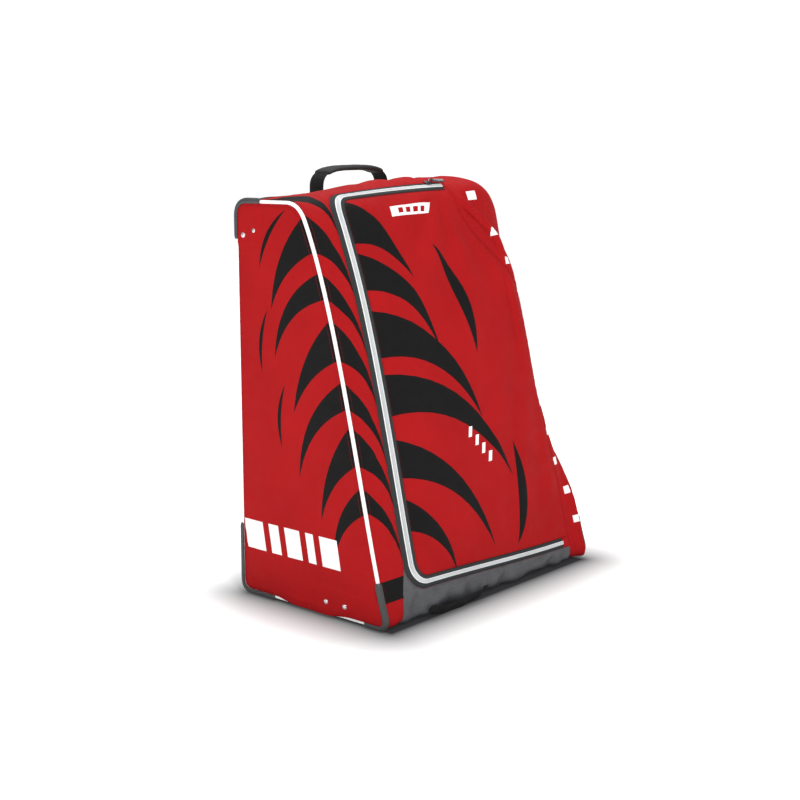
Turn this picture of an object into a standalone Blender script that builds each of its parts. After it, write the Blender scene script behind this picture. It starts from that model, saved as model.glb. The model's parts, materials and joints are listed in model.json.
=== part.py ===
"""Wheeled hockey equipment bag: an upright tower bag with a sloped front and a zipped front door.

Metres, +Z up.  The bag stands on z = 0, its back faces +Y and its sloped front faces -Y.
One skin surface, skin(across, along), describes the soft outside: `across` runs from the left seam
to the right seam, `along` runs up the front, over the top, down the back and under the base.
Every fabric panel is a patch of that skin with its own thickness.
"""
import bisect
import math

import bmesh
import bpy
from mathutils import Matrix, Vector, geometry

# ---------------------------------------------------------------- driving dimensions
WIDTH = 0.64
BASE_DEPTH = 0.385
TOP_DEPTH = 0.166
HEIGHT = 0.76
FLOOR_GAP = 0.006

SHEET = 0.004
GAP = 0.0003
SEAM_GAP = 0.001
CORD_RADIUS = 0.0045

CROWN = 0.036
CROWN_DEPTH = 0.115
CROWN_AT_BACK = 0.25
CROWN_AT_BROW = 0.66
CROWN_START_DEPTH = 0.040
CROWN_BAND = 0.09
CROWN_SPAN = 0.85
BELLY = 0.006
SLUMP_WAIST = 0.030
SLUMP_DEPTH = 0.070
SLUMP_DROP = 0.045
ROLL_WIDTH = 0.090
ROLL_LENGTH = 0.115
SHOULDER = 0.042
SHOULDER_LOW = 0.60
SHOULDER_BAND = 0.02

ZIP_HALF = 0.0125
ZIP_CORNER = 0.040
ZIP_LEFT_MARGIN = 0.083
ZIP_FOOT_HEIGHT = 0.052
ZIP_TOP_SETBACK = -0.024
CREASE_IN_ROLL = 0.034
ZIP_TOP_SHORT = 0.008
ZIP_FOOT_SHORT = 0.022
TOP_CREASE_X = 0.105

BOARD = 0.003
SHANK_RADIUS = 0.0025
HOLE_RADIUS = SHANK_RADIUS + GAP
WHEEL_RADIUS = 0.038
WHEEL_WIDTH = 0.026
WHEEL_INSET = 0.066
WHEEL_PROUD = 0.010
SHELF_HEIGHT = 0.40
SHELF_HALF = 0.255
SHELF_REACH = 0.215

# ---------------------------------------------------------------- worked-out sizes
HALF = WIDTH / 2
BACK_Y = BASE_DEPTH / 2
EDGE_INSET = 2 * CORD_RADIUS + GAP
SKIN_LEFT = -HALF + EDGE_INSET
ROLL_START_X = HALF - ROLL_WIDTH
ROLL_START = ROLL_START_X - SKIN_LEFT
ACROSS = ROLL_START + ROLL_LENGTH
ZIP_LEFT = ZIP_LEFT_MARGIN
ZIP_RIGHT_TOP = TOP_CREASE_X - SKIN_LEFT - ZIP_TOP_SHORT
CREASE = ROLL_START + CREASE_IN_ROLL
ZIP_FOOT_END = CREASE - ZIP_FOOT_SHORT


# ---------------------------------------------------------------- even steps
def spread(low, high, steps):
    return [low + (high - low) * i / steps for i in range(steps + 1)]


def spread_ends(low, high, steps):
    """Like spread, with the places closer together at both ends."""
    return [low + (high - low) * (1 - math.cos(math.pi * i / steps)) / 2 for i in range(steps + 1)]


# ---------------------------------------------------------------- side outline
def bezier(points, t):
    """Point on a Bezier curve of any degree, by repeated blending of its handles."""
    while len(points) > 1:
        points = [a.lerp(b, t) for a, b in zip(points, points[1:])]
    return points[0]


def side_outline():
    """Side outline as (depth from the back, height) points, with the length at each named place."""
    toe = Vector((BASE_DEPTH, 0.0))
    brow = Vector((TOP_DEPTH, HEIGHT))
    toe_handle = Vector((0.870 * BASE_DEPTH, 0.157 * HEIGHT))
    brow_handle = Vector((0.690 * BASE_DEPTH, 0.784 * HEIGHT))
    slope = (toe, toe_handle, brow_handle, brow)
    crown_back = Vector((0.0, HEIGHT))
    heel = Vector((0.0, 0.0))
    toe_round, brow_round, back_round, heel_round = 0.030, 0.032, 0.034, 0.026
    t_toe = toe_round / (3 * (toe_handle - toe).length)
    t_brow = 1 - brow_round / (3 * (brow - brow_handle).length)

    base_front = toe + Vector((-toe_round, 0.0))
    top_front = brow + Vector((-brow_round, 0.0))
    top_back = crown_back + Vector((back_round, 0.0))
    back_top = crown_back + Vector((0.0, -back_round))
    back_low = heel + Vector((0.0, heel_round))
    base_back = heel + Vector((heel_round, 0.0))
    legs = [
        ("toe", (base_front, toe, bezier(slope, t_toe)), 8),
        ("front", None, 36),
        ("brow", (bezier(slope, t_brow), brow, top_front), 10),
        ("top", (top_front, top_back), 8),
        ("back_corner", (top_back, crown_back, back_top), 10),
        ("back", (back_top, back_low), 20),
        ("heel", (back_low, heel, base_back), 8),
        ("base", (base_back, base_front), 12),
    ]
    points = []
    starts = {}
    length = 0.0
    lengths = []
    for name, handles, steps in legs:
        starts[name] = length
        for i in range(steps):
            t = i / steps
            if handles is None:
                point = bezier(slope, t_toe + (t_brow - t_toe) * t)
            else:
                point = bezier(handles, t)
            if points:
                length += (point - points[-1]).length
            if i == 0:
                starts[name] = length
            points.append(point)
            lengths.append(length)
    length += (points[0] - points[-1]).length
    points.append(points[0])
    lengths.append(length)
    return points, lengths, starts


OUTLINE, LENGTHS, STATION = side_outline()
LOOP = LENGTHS[-1]


def rim(along):
    """Depth from the back and height of the side outline at a distance along it."""
    along = along % LOOP
    i = min(max(bisect.bisect_right(LENGTHS, along), 1), len(LENGTHS) - 1)
    span = LENGTHS[i] - LENGTHS[i - 1]
    return OUTLINE[i - 1].lerp(OUTLINE[i], (along - LENGTHS[i - 1]) / span)


def rim_outward(along):
    """Unit normal of the side outline, pointing out of the bag, as (depth, height)."""
    step = 0.004
    tangent = (rim(along + step) - rim(along - step)).normalized()
    return Vector((tangent.y, -tangent.x))


def along_at_height(height):
    """Distance along the front at which the outline reaches a height."""
    low, high = STATION["toe"], STATION["top"]
    for _ in range(40):
        middle = (low + high) / 2
        if rim(middle).y < height:
            low = middle
        else:
            high = middle
    return low


FRONT_DEPTHS = [rim(along_at_height(HEIGHT * i / 60)).x for i in range(58)]


def front_depth(height):
    """Depth of the front at a height, from a ladder of 60 equal steps."""
    rung = min(max(height / HEIGHT * 60, 0.0), len(FRONT_DEPTHS) - 1.001)
    i = int(rung)
    return FRONT_DEPTHS[i] + (FRONT_DEPTHS[i + 1] - FRONT_DEPTHS[i]) * (rung - i)


ZIP_FOOT = along_at_height(ZIP_FOOT_HEIGHT)
ZIP_TOP = STATION["top"] + ZIP_TOP_SETBACK
KICK_START = STATION["toe"] + 0.004


# ---------------------------------------------------------------- skin surface
def smooth(value, low, high):
    """Smooth step from 0 at low to 1 at high."""
    t = min(1.0, max(0.0, (value - low) / (high - low)))
    return t * t * (3 - 2 * t)


def slump(depth, height):
    """How far the soft right edge sinks here: waist inward, recession backward, drop downward."""
    rise = smooth(height, 0.11, 0.39)
    forward = smooth(depth, 0.062, front_depth(height))
    waist = SLUMP_WAIST * rise * smooth(depth, 0.085, front_depth(height) + 0.020)
    recession = (SLUMP_DEPTH - 0.018 * smooth(height, 0.55, HEIGHT)) * rise * forward
    drop = SLUMP_DROP * smooth(height, 0.45, HEIGHT) * forward
    return waist, recession, drop


def right_seam(along):
    """Right edge of the skin as (x of the side panel's face, depth, height)."""
    depth, height = rim(along)
    waist, recession, drop = slump(depth, height)
    return HALF - waist, depth - recession, height - drop


def place(x, depth, height):
    """World position from a side-to-side place, a depth from the back and a height of the shell."""
    return Vector((x, BACK_Y - depth, height + FLOOR_GAP))


def crown_share(depth):
    """Share of the crown from back to front: highest in the middle of the top, like a cushion."""
    behind = CROWN_AT_BACK + (1 - CROWN_AT_BACK) * smooth(depth, CROWN_START_DEPTH, CROWN_DEPTH)
    ahead = 1 - (1 - CROWN_AT_BROW) * smooth(depth, CROWN_DEPTH, TOP_DEPTH)
    return min(behind, ahead)


def skin(across, along):
    """A point of the outer skin."""
    depth, height = rim(along)
    swell = math.sin(math.pi / 2 * min(1.0, max(0.0, across / (CROWN_SPAN * ROLL_START))))
    crown = CROWN * swell * smooth(height, HEIGHT - CROWN_BAND, HEIGHT) * crown_share(depth)
    belly = BELLY * math.sin(math.pi * across / ACROSS) * math.sin(math.pi * height / HEIGHT)
    if depth < TOP_DEPTH * 0.6:
        belly = 0.0
    start = ROLL_START - SHOULDER * smooth(height, SHOULDER_LOW, HEIGHT - SHOULDER_BAND)
    if across <= start:
        return place(SKIN_LEFT + across, depth + belly, height + crown)
    turn = math.pi / 2 * (across - start) / (ACROSS - start)
    face_x, seam_depth, seam_height = right_seam(along)
    start_x = SKIN_LEFT + start
    x = start_x + (face_x - EDGE_INSET - start_x) * math.sin(turn)
    fall = 1 - math.cos(turn)
    return place(x,
                 (depth + belly) * (1 - fall) + seam_depth * fall,
                 (height + crown) * (1 - fall) + seam_height * fall)


def skin_outward(across, along):
    """Unit normal of the skin, pointing out of the bag."""
    step = 0.003
    side = skin(min(across + step, ACROSS), along) - skin(max(across - step, 0.0), along)
    up = skin(across, along + step) - skin(across, along - step)
    return side.cross(up).normalized()


# ---------------------------------------------------------------- materials and objects
MATERIALS = {
    "red_fabric": ((0.50, 0.014, 0.018), 0.75, 0.0),
    "black_fabric": ((0.018, 0.018, 0.018), 0.80, 0.0),
    "charcoal_fabric": ((0.085, 0.085, 0.088), 0.55, 0.0),
    "white_cord": ((0.80, 0.80, 0.79), 0.45, 0.0),
    "grey_plastic": ((0.055, 0.057, 0.058), 0.45, 0.0),
    "black_plastic": ((0.020, 0.020, 0.020), 0.45, 0.0),
    "zip_metal": ((0.45, 0.45, 0.46), 0.30, 1.0),
    "zip_tape": ((0.60, 0.60, 0.60), 0.60, 0.0),
    "rivet_steel": ((0.62, 0.62, 0.64), 0.22, 1.0),
    "board": ((0.030, 0.030, 0.032), 0.60, 0.0),
    "tyre": ((0.025, 0.025, 0.025), 0.70, 0.0),
    "webbing": ((0.022, 0.022, 0.022), 0.85, 0.0),
    "mesh_fabric": ((0.030, 0.030, 0.032), 0.90, 0.0),
    "blank_patch": ((0.80, 0.80, 0.80), 0.50, 0.0),
}


def material(obj_name, slot):
    colour, roughness, metallic = MATERIALS[slot]
    made = bpy.data.materials.new(obj_name + "_" + slot)
    made.use_nodes = True
    shader = made.node_tree.nodes["Principled BSDF"]
    shader.inputs["Base Color"].default_value = (*colour, 1.0)
    shader.inputs["Roughness"].default_value = roughness
    shader.inputs["Metallic"].default_value = metallic
    return made


def clear_scene():
    for obj in list(bpy.data.objects):
        bpy.data.objects.remove(obj, do_unlink=True)


def pivot(name, position):
    """Empty that stands on a joint's axis and carries the moving pieces."""
    empty = bpy.data.objects.new(name, None)
    empty.location = position
    bpy.context.collection.objects.link(empty)
    return empty


def finish(name, bm, slot, carrier=None, rounded=False):
    """Turn a bmesh in world coordinates into a named object, hung on its pivot where it moves."""
    bmesh.ops.recalc_face_normals(bm, faces=bm.faces)
    if carrier is not None:
        bmesh.ops.translate(bm, verts=bm.verts, vec=-Vector(carrier.location))
    mesh = bpy.data.meshes.new(name)
    bm.to_mesh(mesh)
    bm.free()
    mesh.materials.append(material(name, slot))
    if rounded:
        mesh.shade_smooth()
    obj = bpy.data.objects.new(name, mesh)
    bpy.context.collection.objects.link(obj)
    obj.parent = carrier
    return obj


def bridge_rings(bm, rings, closed_rings, closed_path):
    """Faces between neighbouring rings of vertices; open paths get flat end caps."""
    count = len(rings[0])
    pairs = list(zip(rings, rings[1:]))
    if closed_path:
        pairs.append((rings[-1], rings[0]))
    sides = count if closed_rings else count - 1
    for first, second in pairs:
        for i in range(sides):
            j = (i + 1) % count
            bm.faces.new((first[i], first[j], second[j], second[i]))
    if not closed_path:
        bm.faces.new(rings[0])
        bm.faces.new(list(reversed(rings[-1])))


def loft(name, sections, slot, carrier=None, closed_path=False, rounded=True):
    """Closed solid through a row of closed cross-sections."""
    bm = bmesh.new()
    rings = [[bm.verts.new(point) for point in section] for section in sections]
    bridge_rings(bm, rings, True, closed_path)
    return finish(name, bm, slot, carrier, rounded)


def tube(name, inner, outer, slot, carrier=None):
    """Closed sleeve between an inner and an outer row of cross-sections."""
    bm = bmesh.new()
    inner_rings = [[bm.verts.new(point) for point in section] for section in inner]
    outer_rings = [[bm.verts.new(point) for point in section] for section in outer]
    count = len(inner_rings[0])
    for rings in (inner_rings, outer_rings):
        for first, second in zip(rings, rings[1:]):
            for i in range(count):
                j = (i + 1) % count
                bm.faces.new((first[i], first[j], second[j], second[i]))
    for end in (0, -1):
        for i in range(count):
            j = (i + 1) % count
            bm.faces.new((inner_rings[end][i], inner_rings[end][j],
                          outer_rings[end][j], outer_rings[end][i]))
    return finish(name, bm, slot, carrier, True)


def box(name, low, high, slot, carrier=None, bevel=0.0):
    """Axis-aligned block between two corners, with an optional bevel on all edges."""
    bm = bmesh.new()
    bmesh.ops.create_cube(bm, size=1.0)
    size = Vector(high) - Vector(low)
    middle = (Vector(high) + Vector(low)) / 2
    bmesh.ops.transform(bm, matrix=Matrix.Translation(middle) @ Matrix.Diagonal((*size, 1.0)),
                        verts=bm.verts)
    if bevel:
        bmesh.ops.bevel(bm, geom=bm.edges[:], offset=bevel, segments=2, affect="EDGES")
    return finish(name, bm, slot, carrier)


def cut(target, low, high):
    """Take a box-shaped notch out of a solid."""
    cutter = box(target.name + "_cutter", low, high, "board")
    hide_cutter(cutter)
    subtract(target, cutter)


def hide_cutter(cutter):
    cutter.hide_render = True
    cutter.display_type = "WIRE"


def subtract(target, cutter):
    """Boolean difference, applied to the target's mesh."""
    modifier = target.modifiers.new("cut", "BOOLEAN")
    modifier.operation = "DIFFERENCE"
    modifier.solver = "EXACT"
    modifier.object = cutter
    bpy.context.view_layer.update()
    graph = bpy.context.evaluated_depsgraph_get()
    result = bpy.data.meshes.new_from_object(target.evaluated_get(graph))
    target.modifiers.clear()
    target.data = result
    bpy.data.objects.remove(cutter, do_unlink=True)


def inside(outline, point):
    """Whether a point lies inside a closed outline, by counting crossings."""
    crossings = 0
    for a, b in zip(outline, outline[1:] + outline[:1]):
        if (a.y > point.y) != (b.y > point.y):
            if point.x < a.x + (b.x - a.x) * (point.y - a.y) / (b.y - a.y):
                crossings += 1
    return crossings % 2 == 1


def lattice(outline, holes, pitch):
    """Evenly spaced places inside an outline, clear of its edge and of its holes."""
    low_x, high_x = min(p.x for p in outline), max(p.x for p in outline)
    low_y, high_y = min(p.y for p in outline), max(p.y for p in outline)
    places = []
    for i in range(1, int((high_x - low_x) / pitch) + 1):
        for j in range(1, int((high_y - low_y) / pitch) + 1):
            point = Vector((low_x + i * pitch, low_y + j * pitch))
            clear = min((point - Vector(c)).length for c in holes) > 3 * HOLE_RADIUS
            if clear and inside(outline, point) and min((point - p).length for p in outline) > pitch / 3:
                places.append(point)
    return places


def plate(name, outline, holes, outer_place, inner_place, slot, pitch):
    """Sheet with round rivet holes: a flat (depth, height) outline laid on two surfaces."""
    loops = [list(outline)]
    for centre in holes:
        loops.append([Vector(centre) + HOLE_RADIUS * Vector((math.cos(t), math.sin(t)))
                      for t in spread(0.0, math.tau, 16)[:-1]])
    points = [point for loop in loops for point in loop]
    edges = []
    start = 0
    for loop in loops:
        count = len(loop)
        edges += [(start + i, start + (i + 1) % count) for i in range(count)]
        start += count
    points += lattice(outline, holes, pitch)
    places, _, triangles, _, _, _ = geometry.delaunay_2d_cdt(points, edges, [], 1, 1e-7)
    bm = bmesh.new()
    outer = [bm.verts.new(outer_place(*point)) for point in places]
    inner = [bm.verts.new(inner_place(*point)) for point in places]
    for triangle in triangles:
        middle = sum((places[i] for i in triangle), Vector((0.0, 0.0))) / 3
        if min((middle - Vector(c)).length for c in holes) < HOLE_RADIUS:
            continue
        bm.faces.new([outer[i] for i in triangle])
        bm.faces.new([inner[i] for i in reversed(triangle)])
    for i, j in edges:
        bm.faces.new((outer[i], outer[j], inner[j], inner[i]))
    return finish(name, bm, slot)


def patch(name, grid, slot, thickness=SHEET, lift=0.0, carrier=None):
    """Fabric panel: a grid of (across, along) places, thickened into the bag."""
    bm = bmesh.new()
    layers = []
    for depth in (lift, lift - thickness):
        layers.append([[bm.verts.new(skin(a, b) + skin_outward(a, b) * depth) for a, b in row]
                       for row in grid])
    rows, columns = len(grid), len(grid[0])
    for layer in layers:
        for r in range(rows - 1):
            for c in range(columns - 1):
                bm.faces.new((layer[r][c], layer[r][c + 1], layer[r + 1][c + 1], layer[r + 1][c]))
    outer, inner = layers
    border = [(0, c) for c in range(columns)]
    border += [(r, columns - 1) for r in range(1, rows)]
    border += [(rows - 1, c) for c in range(columns - 2, -1, -1)]
    border += [(r, 0) for r in range(rows - 2, 0, -1)]
    for (r0, c0), (r1, c1) in zip(border, border[1:] + border[:1]):
        bm.faces.new((outer[r0][c0], outer[r1][c1], inner[r1][c1], inner[r0][c0]))
    return finish(name, bm, slot, carrier, True)


# ---------------------------------------------------------------- fabric panels
def corner_give(distance, radius):
    """How far a rounded corner's edge stands in, at a distance from the corner's start."""
    if distance >= radius:
        return 0.0
    return radius - math.sqrt(max(0.0, radius ** 2 - (radius - distance) ** 2))


def fold_across(along):
    """Straight fold on which the door swings, between the two ends of the zip."""
    t = (along - ZIP_FOOT) / (ZIP_TOP - ZIP_FOOT)
    bottom = CREASE - 0.010
    top = ZIP_RIGHT_TOP + 0.0045
    return bottom + (top - bottom) * t


def crease_across(along):
    """Sewn crease between the door's cloth and the right-hand strip, right of the fold."""
    top_across = TOP_CREASE_X - SKIN_LEFT
    lean = 1.0 if along > STATION["top"] else smooth(rim(along).y, 0.50, HEIGHT - 0.01)
    return max(CREASE + (top_across - CREASE) * lean ** 1.5, fold_across(along) + 0.005)


CREASE_ROWS = spread(ZIP_FOOT - ZIP_HALF, ZIP_TOP + ZIP_HALF, 28)


def door_cloth():
    low = ZIP_FOOT + ZIP_HALF + SEAM_GAP
    high = ZIP_TOP - ZIP_HALF - SEAM_GAP
    left = ZIP_LEFT + ZIP_HALF + SEAM_GAP
    radius = ZIP_CORNER - ZIP_HALF - SEAM_GAP
    grid = []
    for along in spread_ends(low, high, 26):
        give = corner_give(along - low, radius) + corner_give(high - along, radius)
        grid.append([(a, along) for a in spread(left + give, fold_across(along) - GAP, 10)])
    return grid


def gusset_cloth():
    return [[(a, along) for a in spread(fold_across(along) + GAP, crease_across(along) - 2 * GAP, 4)]
            for along in CREASE_ROWS]


def left_strip():
    right = ZIP_LEFT - ZIP_HALF - SEAM_GAP
    return [[(a, along) for a in spread(0.0, right, 4)]
            for along in spread(KICK_START, STATION["back_corner"], 36)]


def right_strip():
    rows = spread(KICK_START, CREASE_ROWS[0], 3)[:-1] + CREASE_ROWS
    rows += spread(CREASE_ROWS[-1], STATION["back_corner"], 5)[1:]
    return [[(a, along) for a in spread(crease_across(along) + 2 * GAP, ACROSS, 8)] for along in rows]


def round_corner_columns(right, steps):
    """Places across and how far the zip's rounded corner stands in at each, left to right."""
    left = ZIP_LEFT - ZIP_HALF - SEAM_GAP + 2 * GAP
    radius = ZIP_CORNER + ZIP_HALF + SEAM_GAP
    columns = [(left + radius * (1 - math.cos(t)), radius * (1 - math.sin(t)))
               for t in spread(0.0, math.pi / 2, 10)]
    return columns + [(a, 0.0) for a in spread(left + radius, right, steps)[1:]]


def kick_cloth():
    """Charcoal panel under the door, following the rounded corner of the zip."""
    top = ZIP_FOOT - ZIP_HALF - SEAM_GAP
    columns = round_corner_columns(CREASE - 2 * GAP, 9)
    return [[(a, KICK_START + (top + give - KICK_START) * t) for a, give in columns]
            for t in spread(0.0, 1.0, 6)]


def top_cloth():
    """Top panel behind the zip, following the rounded corner of the zip."""
    low = ZIP_TOP + ZIP_HALF + SEAM_GAP
    high = STATION["back_corner"]
    columns = round_corner_columns(TOP_CREASE_X - SKIN_LEFT - 2 * GAP, 6)
    return [[(a, low - give + (high - low + give) * t) for a, give in columns]
            for t in spread(0.0, 1.0, 6)]


def panels(door):
    patch("front_strip_left", left_strip(), "red_fabric")
    patch("front_strip_right", right_strip(), "red_fabric")
    patch("front_gusset", gusset_cloth(), "red_fabric")
    patch("kick_panel", kick_cloth(), "charcoal_fabric")
    patch("top_panel", top_cloth(), "red_fabric")
    patch("door_panel", door_cloth(), "red_fabric", carrier=door)
    low = STATION["back_corner"] + 2 * GAP
    high = STATION["heel"] - GAP
    full = spread(0.0, ACROSS, 10)
    back_rows = spread(low, STATION["back"], 8) + spread(STATION["back"], high, 8)[1:]
    base_rows = spread(high + 2 * GAP, STATION["base"], 8)
    base_rows += spread(STATION["base"], LOOP, 8)[1:] + [LOOP + KICK_START - 2 * GAP]
    back = patch("back_panel", [[(a, b) for a in full] for b in back_rows], "black_fabric")
    base = patch("base_panel", [[(a, b) for a in full] for b in base_rows], "black_fabric")
    for panel in (back, base):
        for side in (-1, 1):
            low_corner, high_corner = housing_box(side)
            cut(panel, low_corner - Vector.Fill(3, GAP), high_corner + Vector.Fill(3, GAP))


def side_point(side, depth, height, inward):
    """Point of a side panel, a distance inward of its face."""
    waist, recession, drop = slump(depth, height) if side > 0 else (0.0, 0.0, 0.0)
    return place(side * (HALF - waist - inward), depth - recession, height - drop)


def side_panel(name, side):
    """Flat side panel on the left; on the right its front edge is pulled in with the slump."""
    outline = [rim(along) - rim_outward(along) * (EDGE_INSET + SEAM_GAP)
               for along in spread(0.0, LOOP, 84)[:-1]]
    holes = [centre for places in RIVET_PLACES.values() for centre in places]
    plate(name, outline, holes, lambda d, h: side_point(side, d, h, 0.0),
          lambda d, h: side_point(side, d, h, SHEET), "red_fabric", 0.042)


# ---------------------------------------------------------------- edging
def edge_centre(along, side):
    """Middle of the piping cord at a distance along the side outline."""
    depth, height = rim(along) - rim_outward(along) * CORD_RADIUS
    return side_point(side, depth, height, CORD_RADIUS)


def edge_frame(along, side):
    """Outward directions at the edge: sideways, and away from the bag in the side plane."""
    out = rim_outward(along)
    return Vector((side, 0.0, 0.0)), Vector((0.0, -out.x, out.y))


def edge_stations():
    """Places along the side outline at which the edging has its cross-sections."""
    steps = {"toe": 10, "front": 24, "brow": 10, "top": 4, "back_corner": 10, "back": 18,
             "heel": 10, "base": 10}
    names = list(steps)
    ends = [STATION[name] for name in names[1:]] + [LOOP]
    stations = []
    for name, end in zip(names, ends):
        stations += spread(STATION[name], end, steps[name])[:-1]
    return stations


def piping(name, side):
    sections = []
    for along in edge_stations():
        centre = edge_centre(along, side)
        sideways, away = edge_frame(along, side)
        sections.append([centre + CORD_RADIUS * (math.cos(t) * sideways + math.sin(t) * away)
                         for t in spread(0.0, math.tau, 8)[:-1]])
    loft(name, sections, "white_cord", closed_path=True)


def corner_guard(name, side, low, high):
    """Moulded strip that caps the piping round a corner."""
    inner_radius = CORD_RADIUS + GAP
    outer_radius = CORD_RADIUS + 0.0028
    angles = spread(math.radians(-20), math.radians(110), 6)
    sections = []
    stations = edge_stations()
    stations += [LOOP + along for along in stations]
    for along in [b for b in stations if low <= b <= high]:
        centre = edge_centre(along, side)
        sideways, away = edge_frame(along, side)
        ring = [centre + outer_radius * (math.cos(t) * sideways + math.sin(t) * away) for t in angles]
        ring += [centre + inner_radius * (math.cos(t) * sideways + math.sin(t) * away)
                 for t in reversed(angles)]
        sections.append(ring)
    loft(name, sections, "grey_plastic")


GUARDS = {
    "top_back": (STATION["back_corner"] - 0.034, STATION["back"] + 0.040),
    "bottom_back": (STATION["heel"] - 0.110, STATION["base"] + 0.066),
    "bottom_front": (LOOP - 0.030, LOOP + STATION["front"] + 0.055),
}


def edging():
    for side, side_name in ((-1, "left"), (1, "right")):
        piping("piping_" + side_name, side)
        for corner, (low, high) in GUARDS.items():
            corner_guard("corner_guard_" + corner + "_" + side_name, side, low, high)


# ---------------------------------------------------------------- rivets and corner plates
RIVET_RADIUS = 0.0065
RIVET_PLACES = {
    "top": ((0.024, HEIGHT - 0.066), (0.054, HEIGHT - 0.057)),
    "bottom": ((BASE_DEPTH - 0.155, 0.026), (BASE_DEPTH - 0.108, 0.026)),
}
PLATE_BOXES = {
    "top": ((0.012, HEIGHT - 0.085), (0.064, HEIGHT - 0.012)),
    "bottom": ((BASE_DEPTH - 0.185, 0.012), (BASE_DEPTH - 0.050, 0.052)),
}


def revolve_x(name, profile, centre, side, slot, steps=16, carrier=None):
    """Turn a (distance from the axis, reach sideways) outline round an axis along X."""
    sections = []
    for reach_radius, reach in profile:
        sections.append([centre + Vector((side * reach,
                                          reach_radius * math.cos(t), reach_radius * math.sin(t)))
                         for t in spread(0.0, math.tau, steps)[:-1]])
    return loft(name, sections, slot, carrier)


def rivet(name, centre, side):
    """Domed rivet: the head outside, the shank through the cloth and the plate, the tail inside."""
    head = 0.0026
    through = SHEET + BOARD + 5 * GAP
    dome = [(RIVET_RADIUS * math.cos(t), GAP + 0.0006 + (head - 0.0006) * math.sin(t))
            for t in spread(math.radians(80), 0.0, 3)]
    profile = dome + [
        (RIVET_RADIUS, GAP),
        (SHANK_RADIUS, GAP),
        (SHANK_RADIUS, -through),
        (SHANK_RADIUS * 1.9, -through),
        (SHANK_RADIUS * 1.9, -through - 0.0012),
    ]
    revolve_x(name, profile, centre, side, "rivet_steel", steps=14)


def corner_plate(name, corner, side):
    """Plastic plate behind a riveted corner of a side panel."""
    (near, low), (far, high) = PLATE_BOXES[corner]
    chamfer = 0.018
    outline = [Vector((near, low)), Vector((far, low)), Vector((far, high)),
               Vector((near + chamfer, high)), Vector((near, high - chamfer))]
    front_face = SHEET + 3 * GAP
    plate(name, outline, RIVET_PLACES[corner], lambda d, h: side_point(side, d, h, front_face),
          lambda d, h: side_point(side, d, h, front_face + BOARD), "board", 0.021)


def fastened_corners():
    """Side panels with their inner corner plates and rivets."""
    for side, side_name in ((-1, "left"), (1, "right")):
        side_panel("side_panel_" + side_name, side)
        for corner, places in RIVET_PLACES.items():
            corner_plate("corner_plate_" + corner + "_" + side_name, corner, side)
            for number, (depth, height) in enumerate(places, 1):
                centre = side_point(side, depth, height, 0.0)
                rivet("rivet_" + corner + "_" + side_name + "_" + str(number), centre, side)


# ---------------------------------------------------------------- zip
TEETH_GAP = 0.0009
TEETH_REACH = 0.0055
TEETH_RISE = 0.0016
TAPE_THICKNESS = 0.002
END_TAB_WIDTH = 0.006


def zip_path():
    """Middle line of the zip as (across, along, sideways direction into the door)."""
    inner_left = ZIP_LEFT + ZIP_CORNER
    path = []
    for a in spread(ZIP_RIGHT_TOP, inner_left, 8)[:-1]:
        path.append((a, ZIP_TOP, Vector((0.0, -1.0))))
    for t in spread(0.0, math.pi / 2, 8):
        out = Vector((-math.sin(t), math.cos(t)))
        path.append((inner_left + ZIP_CORNER * out.x, ZIP_TOP - ZIP_CORNER + ZIP_CORNER * out.y, -out))
    for b in spread(ZIP_TOP - ZIP_CORNER, ZIP_FOOT + ZIP_CORNER, 26)[1:-1]:
        path.append((ZIP_LEFT, b, Vector((1.0, 0.0))))
    for t in spread(0.0, math.pi / 2, 8):
        out = Vector((-math.cos(t), -math.sin(t)))
        path.append((inner_left + ZIP_CORNER * out.x, ZIP_FOOT + ZIP_CORNER + ZIP_CORNER * out.y, -out))
    for a in spread(inner_left, ZIP_FOOT_END, 10)[1:]:
        path.append((a, ZIP_FOOT, Vector((0.0, 1.0))))
    return path


def zip_half(name, direction, carrier=None):
    """Half of the zip: flat tape with the raised row of teeth on its meeting edge."""
    profile = [(TEETH_GAP, TEETH_RISE), (TEETH_REACH, TEETH_RISE), (TEETH_REACH, 0.0),
               (ZIP_HALF, 0.0), (ZIP_HALF, -TAPE_THICKNESS), (TEETH_GAP, -TAPE_THICKNESS)]
    sections = []
    for a, b, into in zip_path():
        ring = []
        for offset, lift in profile:
            shifted = Vector((a, b)) + into * direction * offset
            ring.append(skin(*shifted) + skin_outward(*shifted) * lift)
        sections.append(ring)
    loft(name, sections, "zip_tape", carrier, rounded=False)


# ---------------------------------------------------------------- slider and pull
SLIDER_X = 0.060
SLIDER_SEAT_OFFSET = 0.0065
SLIDE_TRAVEL = 0.150
SLIDER_SIZE = Vector((0.016, 0.010, 0.0045))
SLIDER_CLEARANCE = 0.0012
PULL_LENGTH = 0.040
PULL_WIDTH = 0.007
PULL_THICKNESS = 0.0014
PULL_LIFT = 0.0014
PULL_DROOP_DEG = 5.0


def slider_seat(x):
    """Point of the top run of the zip under the slider."""
    return skin(x - SKIN_LEFT, ZIP_TOP + SLIDER_SEAT_OFFSET)


def slide_axis():
    return (slider_seat(SLIDER_X - SLIDE_TRAVEL) - slider_seat(SLIDER_X)).normalized()


def slider_frame():
    """Slider's own directions as columns: along the zip to the right, across it, and off the cloth."""
    right = -slide_axis()
    off = skin_outward(SLIDER_X - SKIN_LEFT, ZIP_TOP + SLIDER_SEAT_OFFSET)
    across = off.cross(right).normalized()
    return Matrix((right, across, right.cross(across))).transposed()


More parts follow.
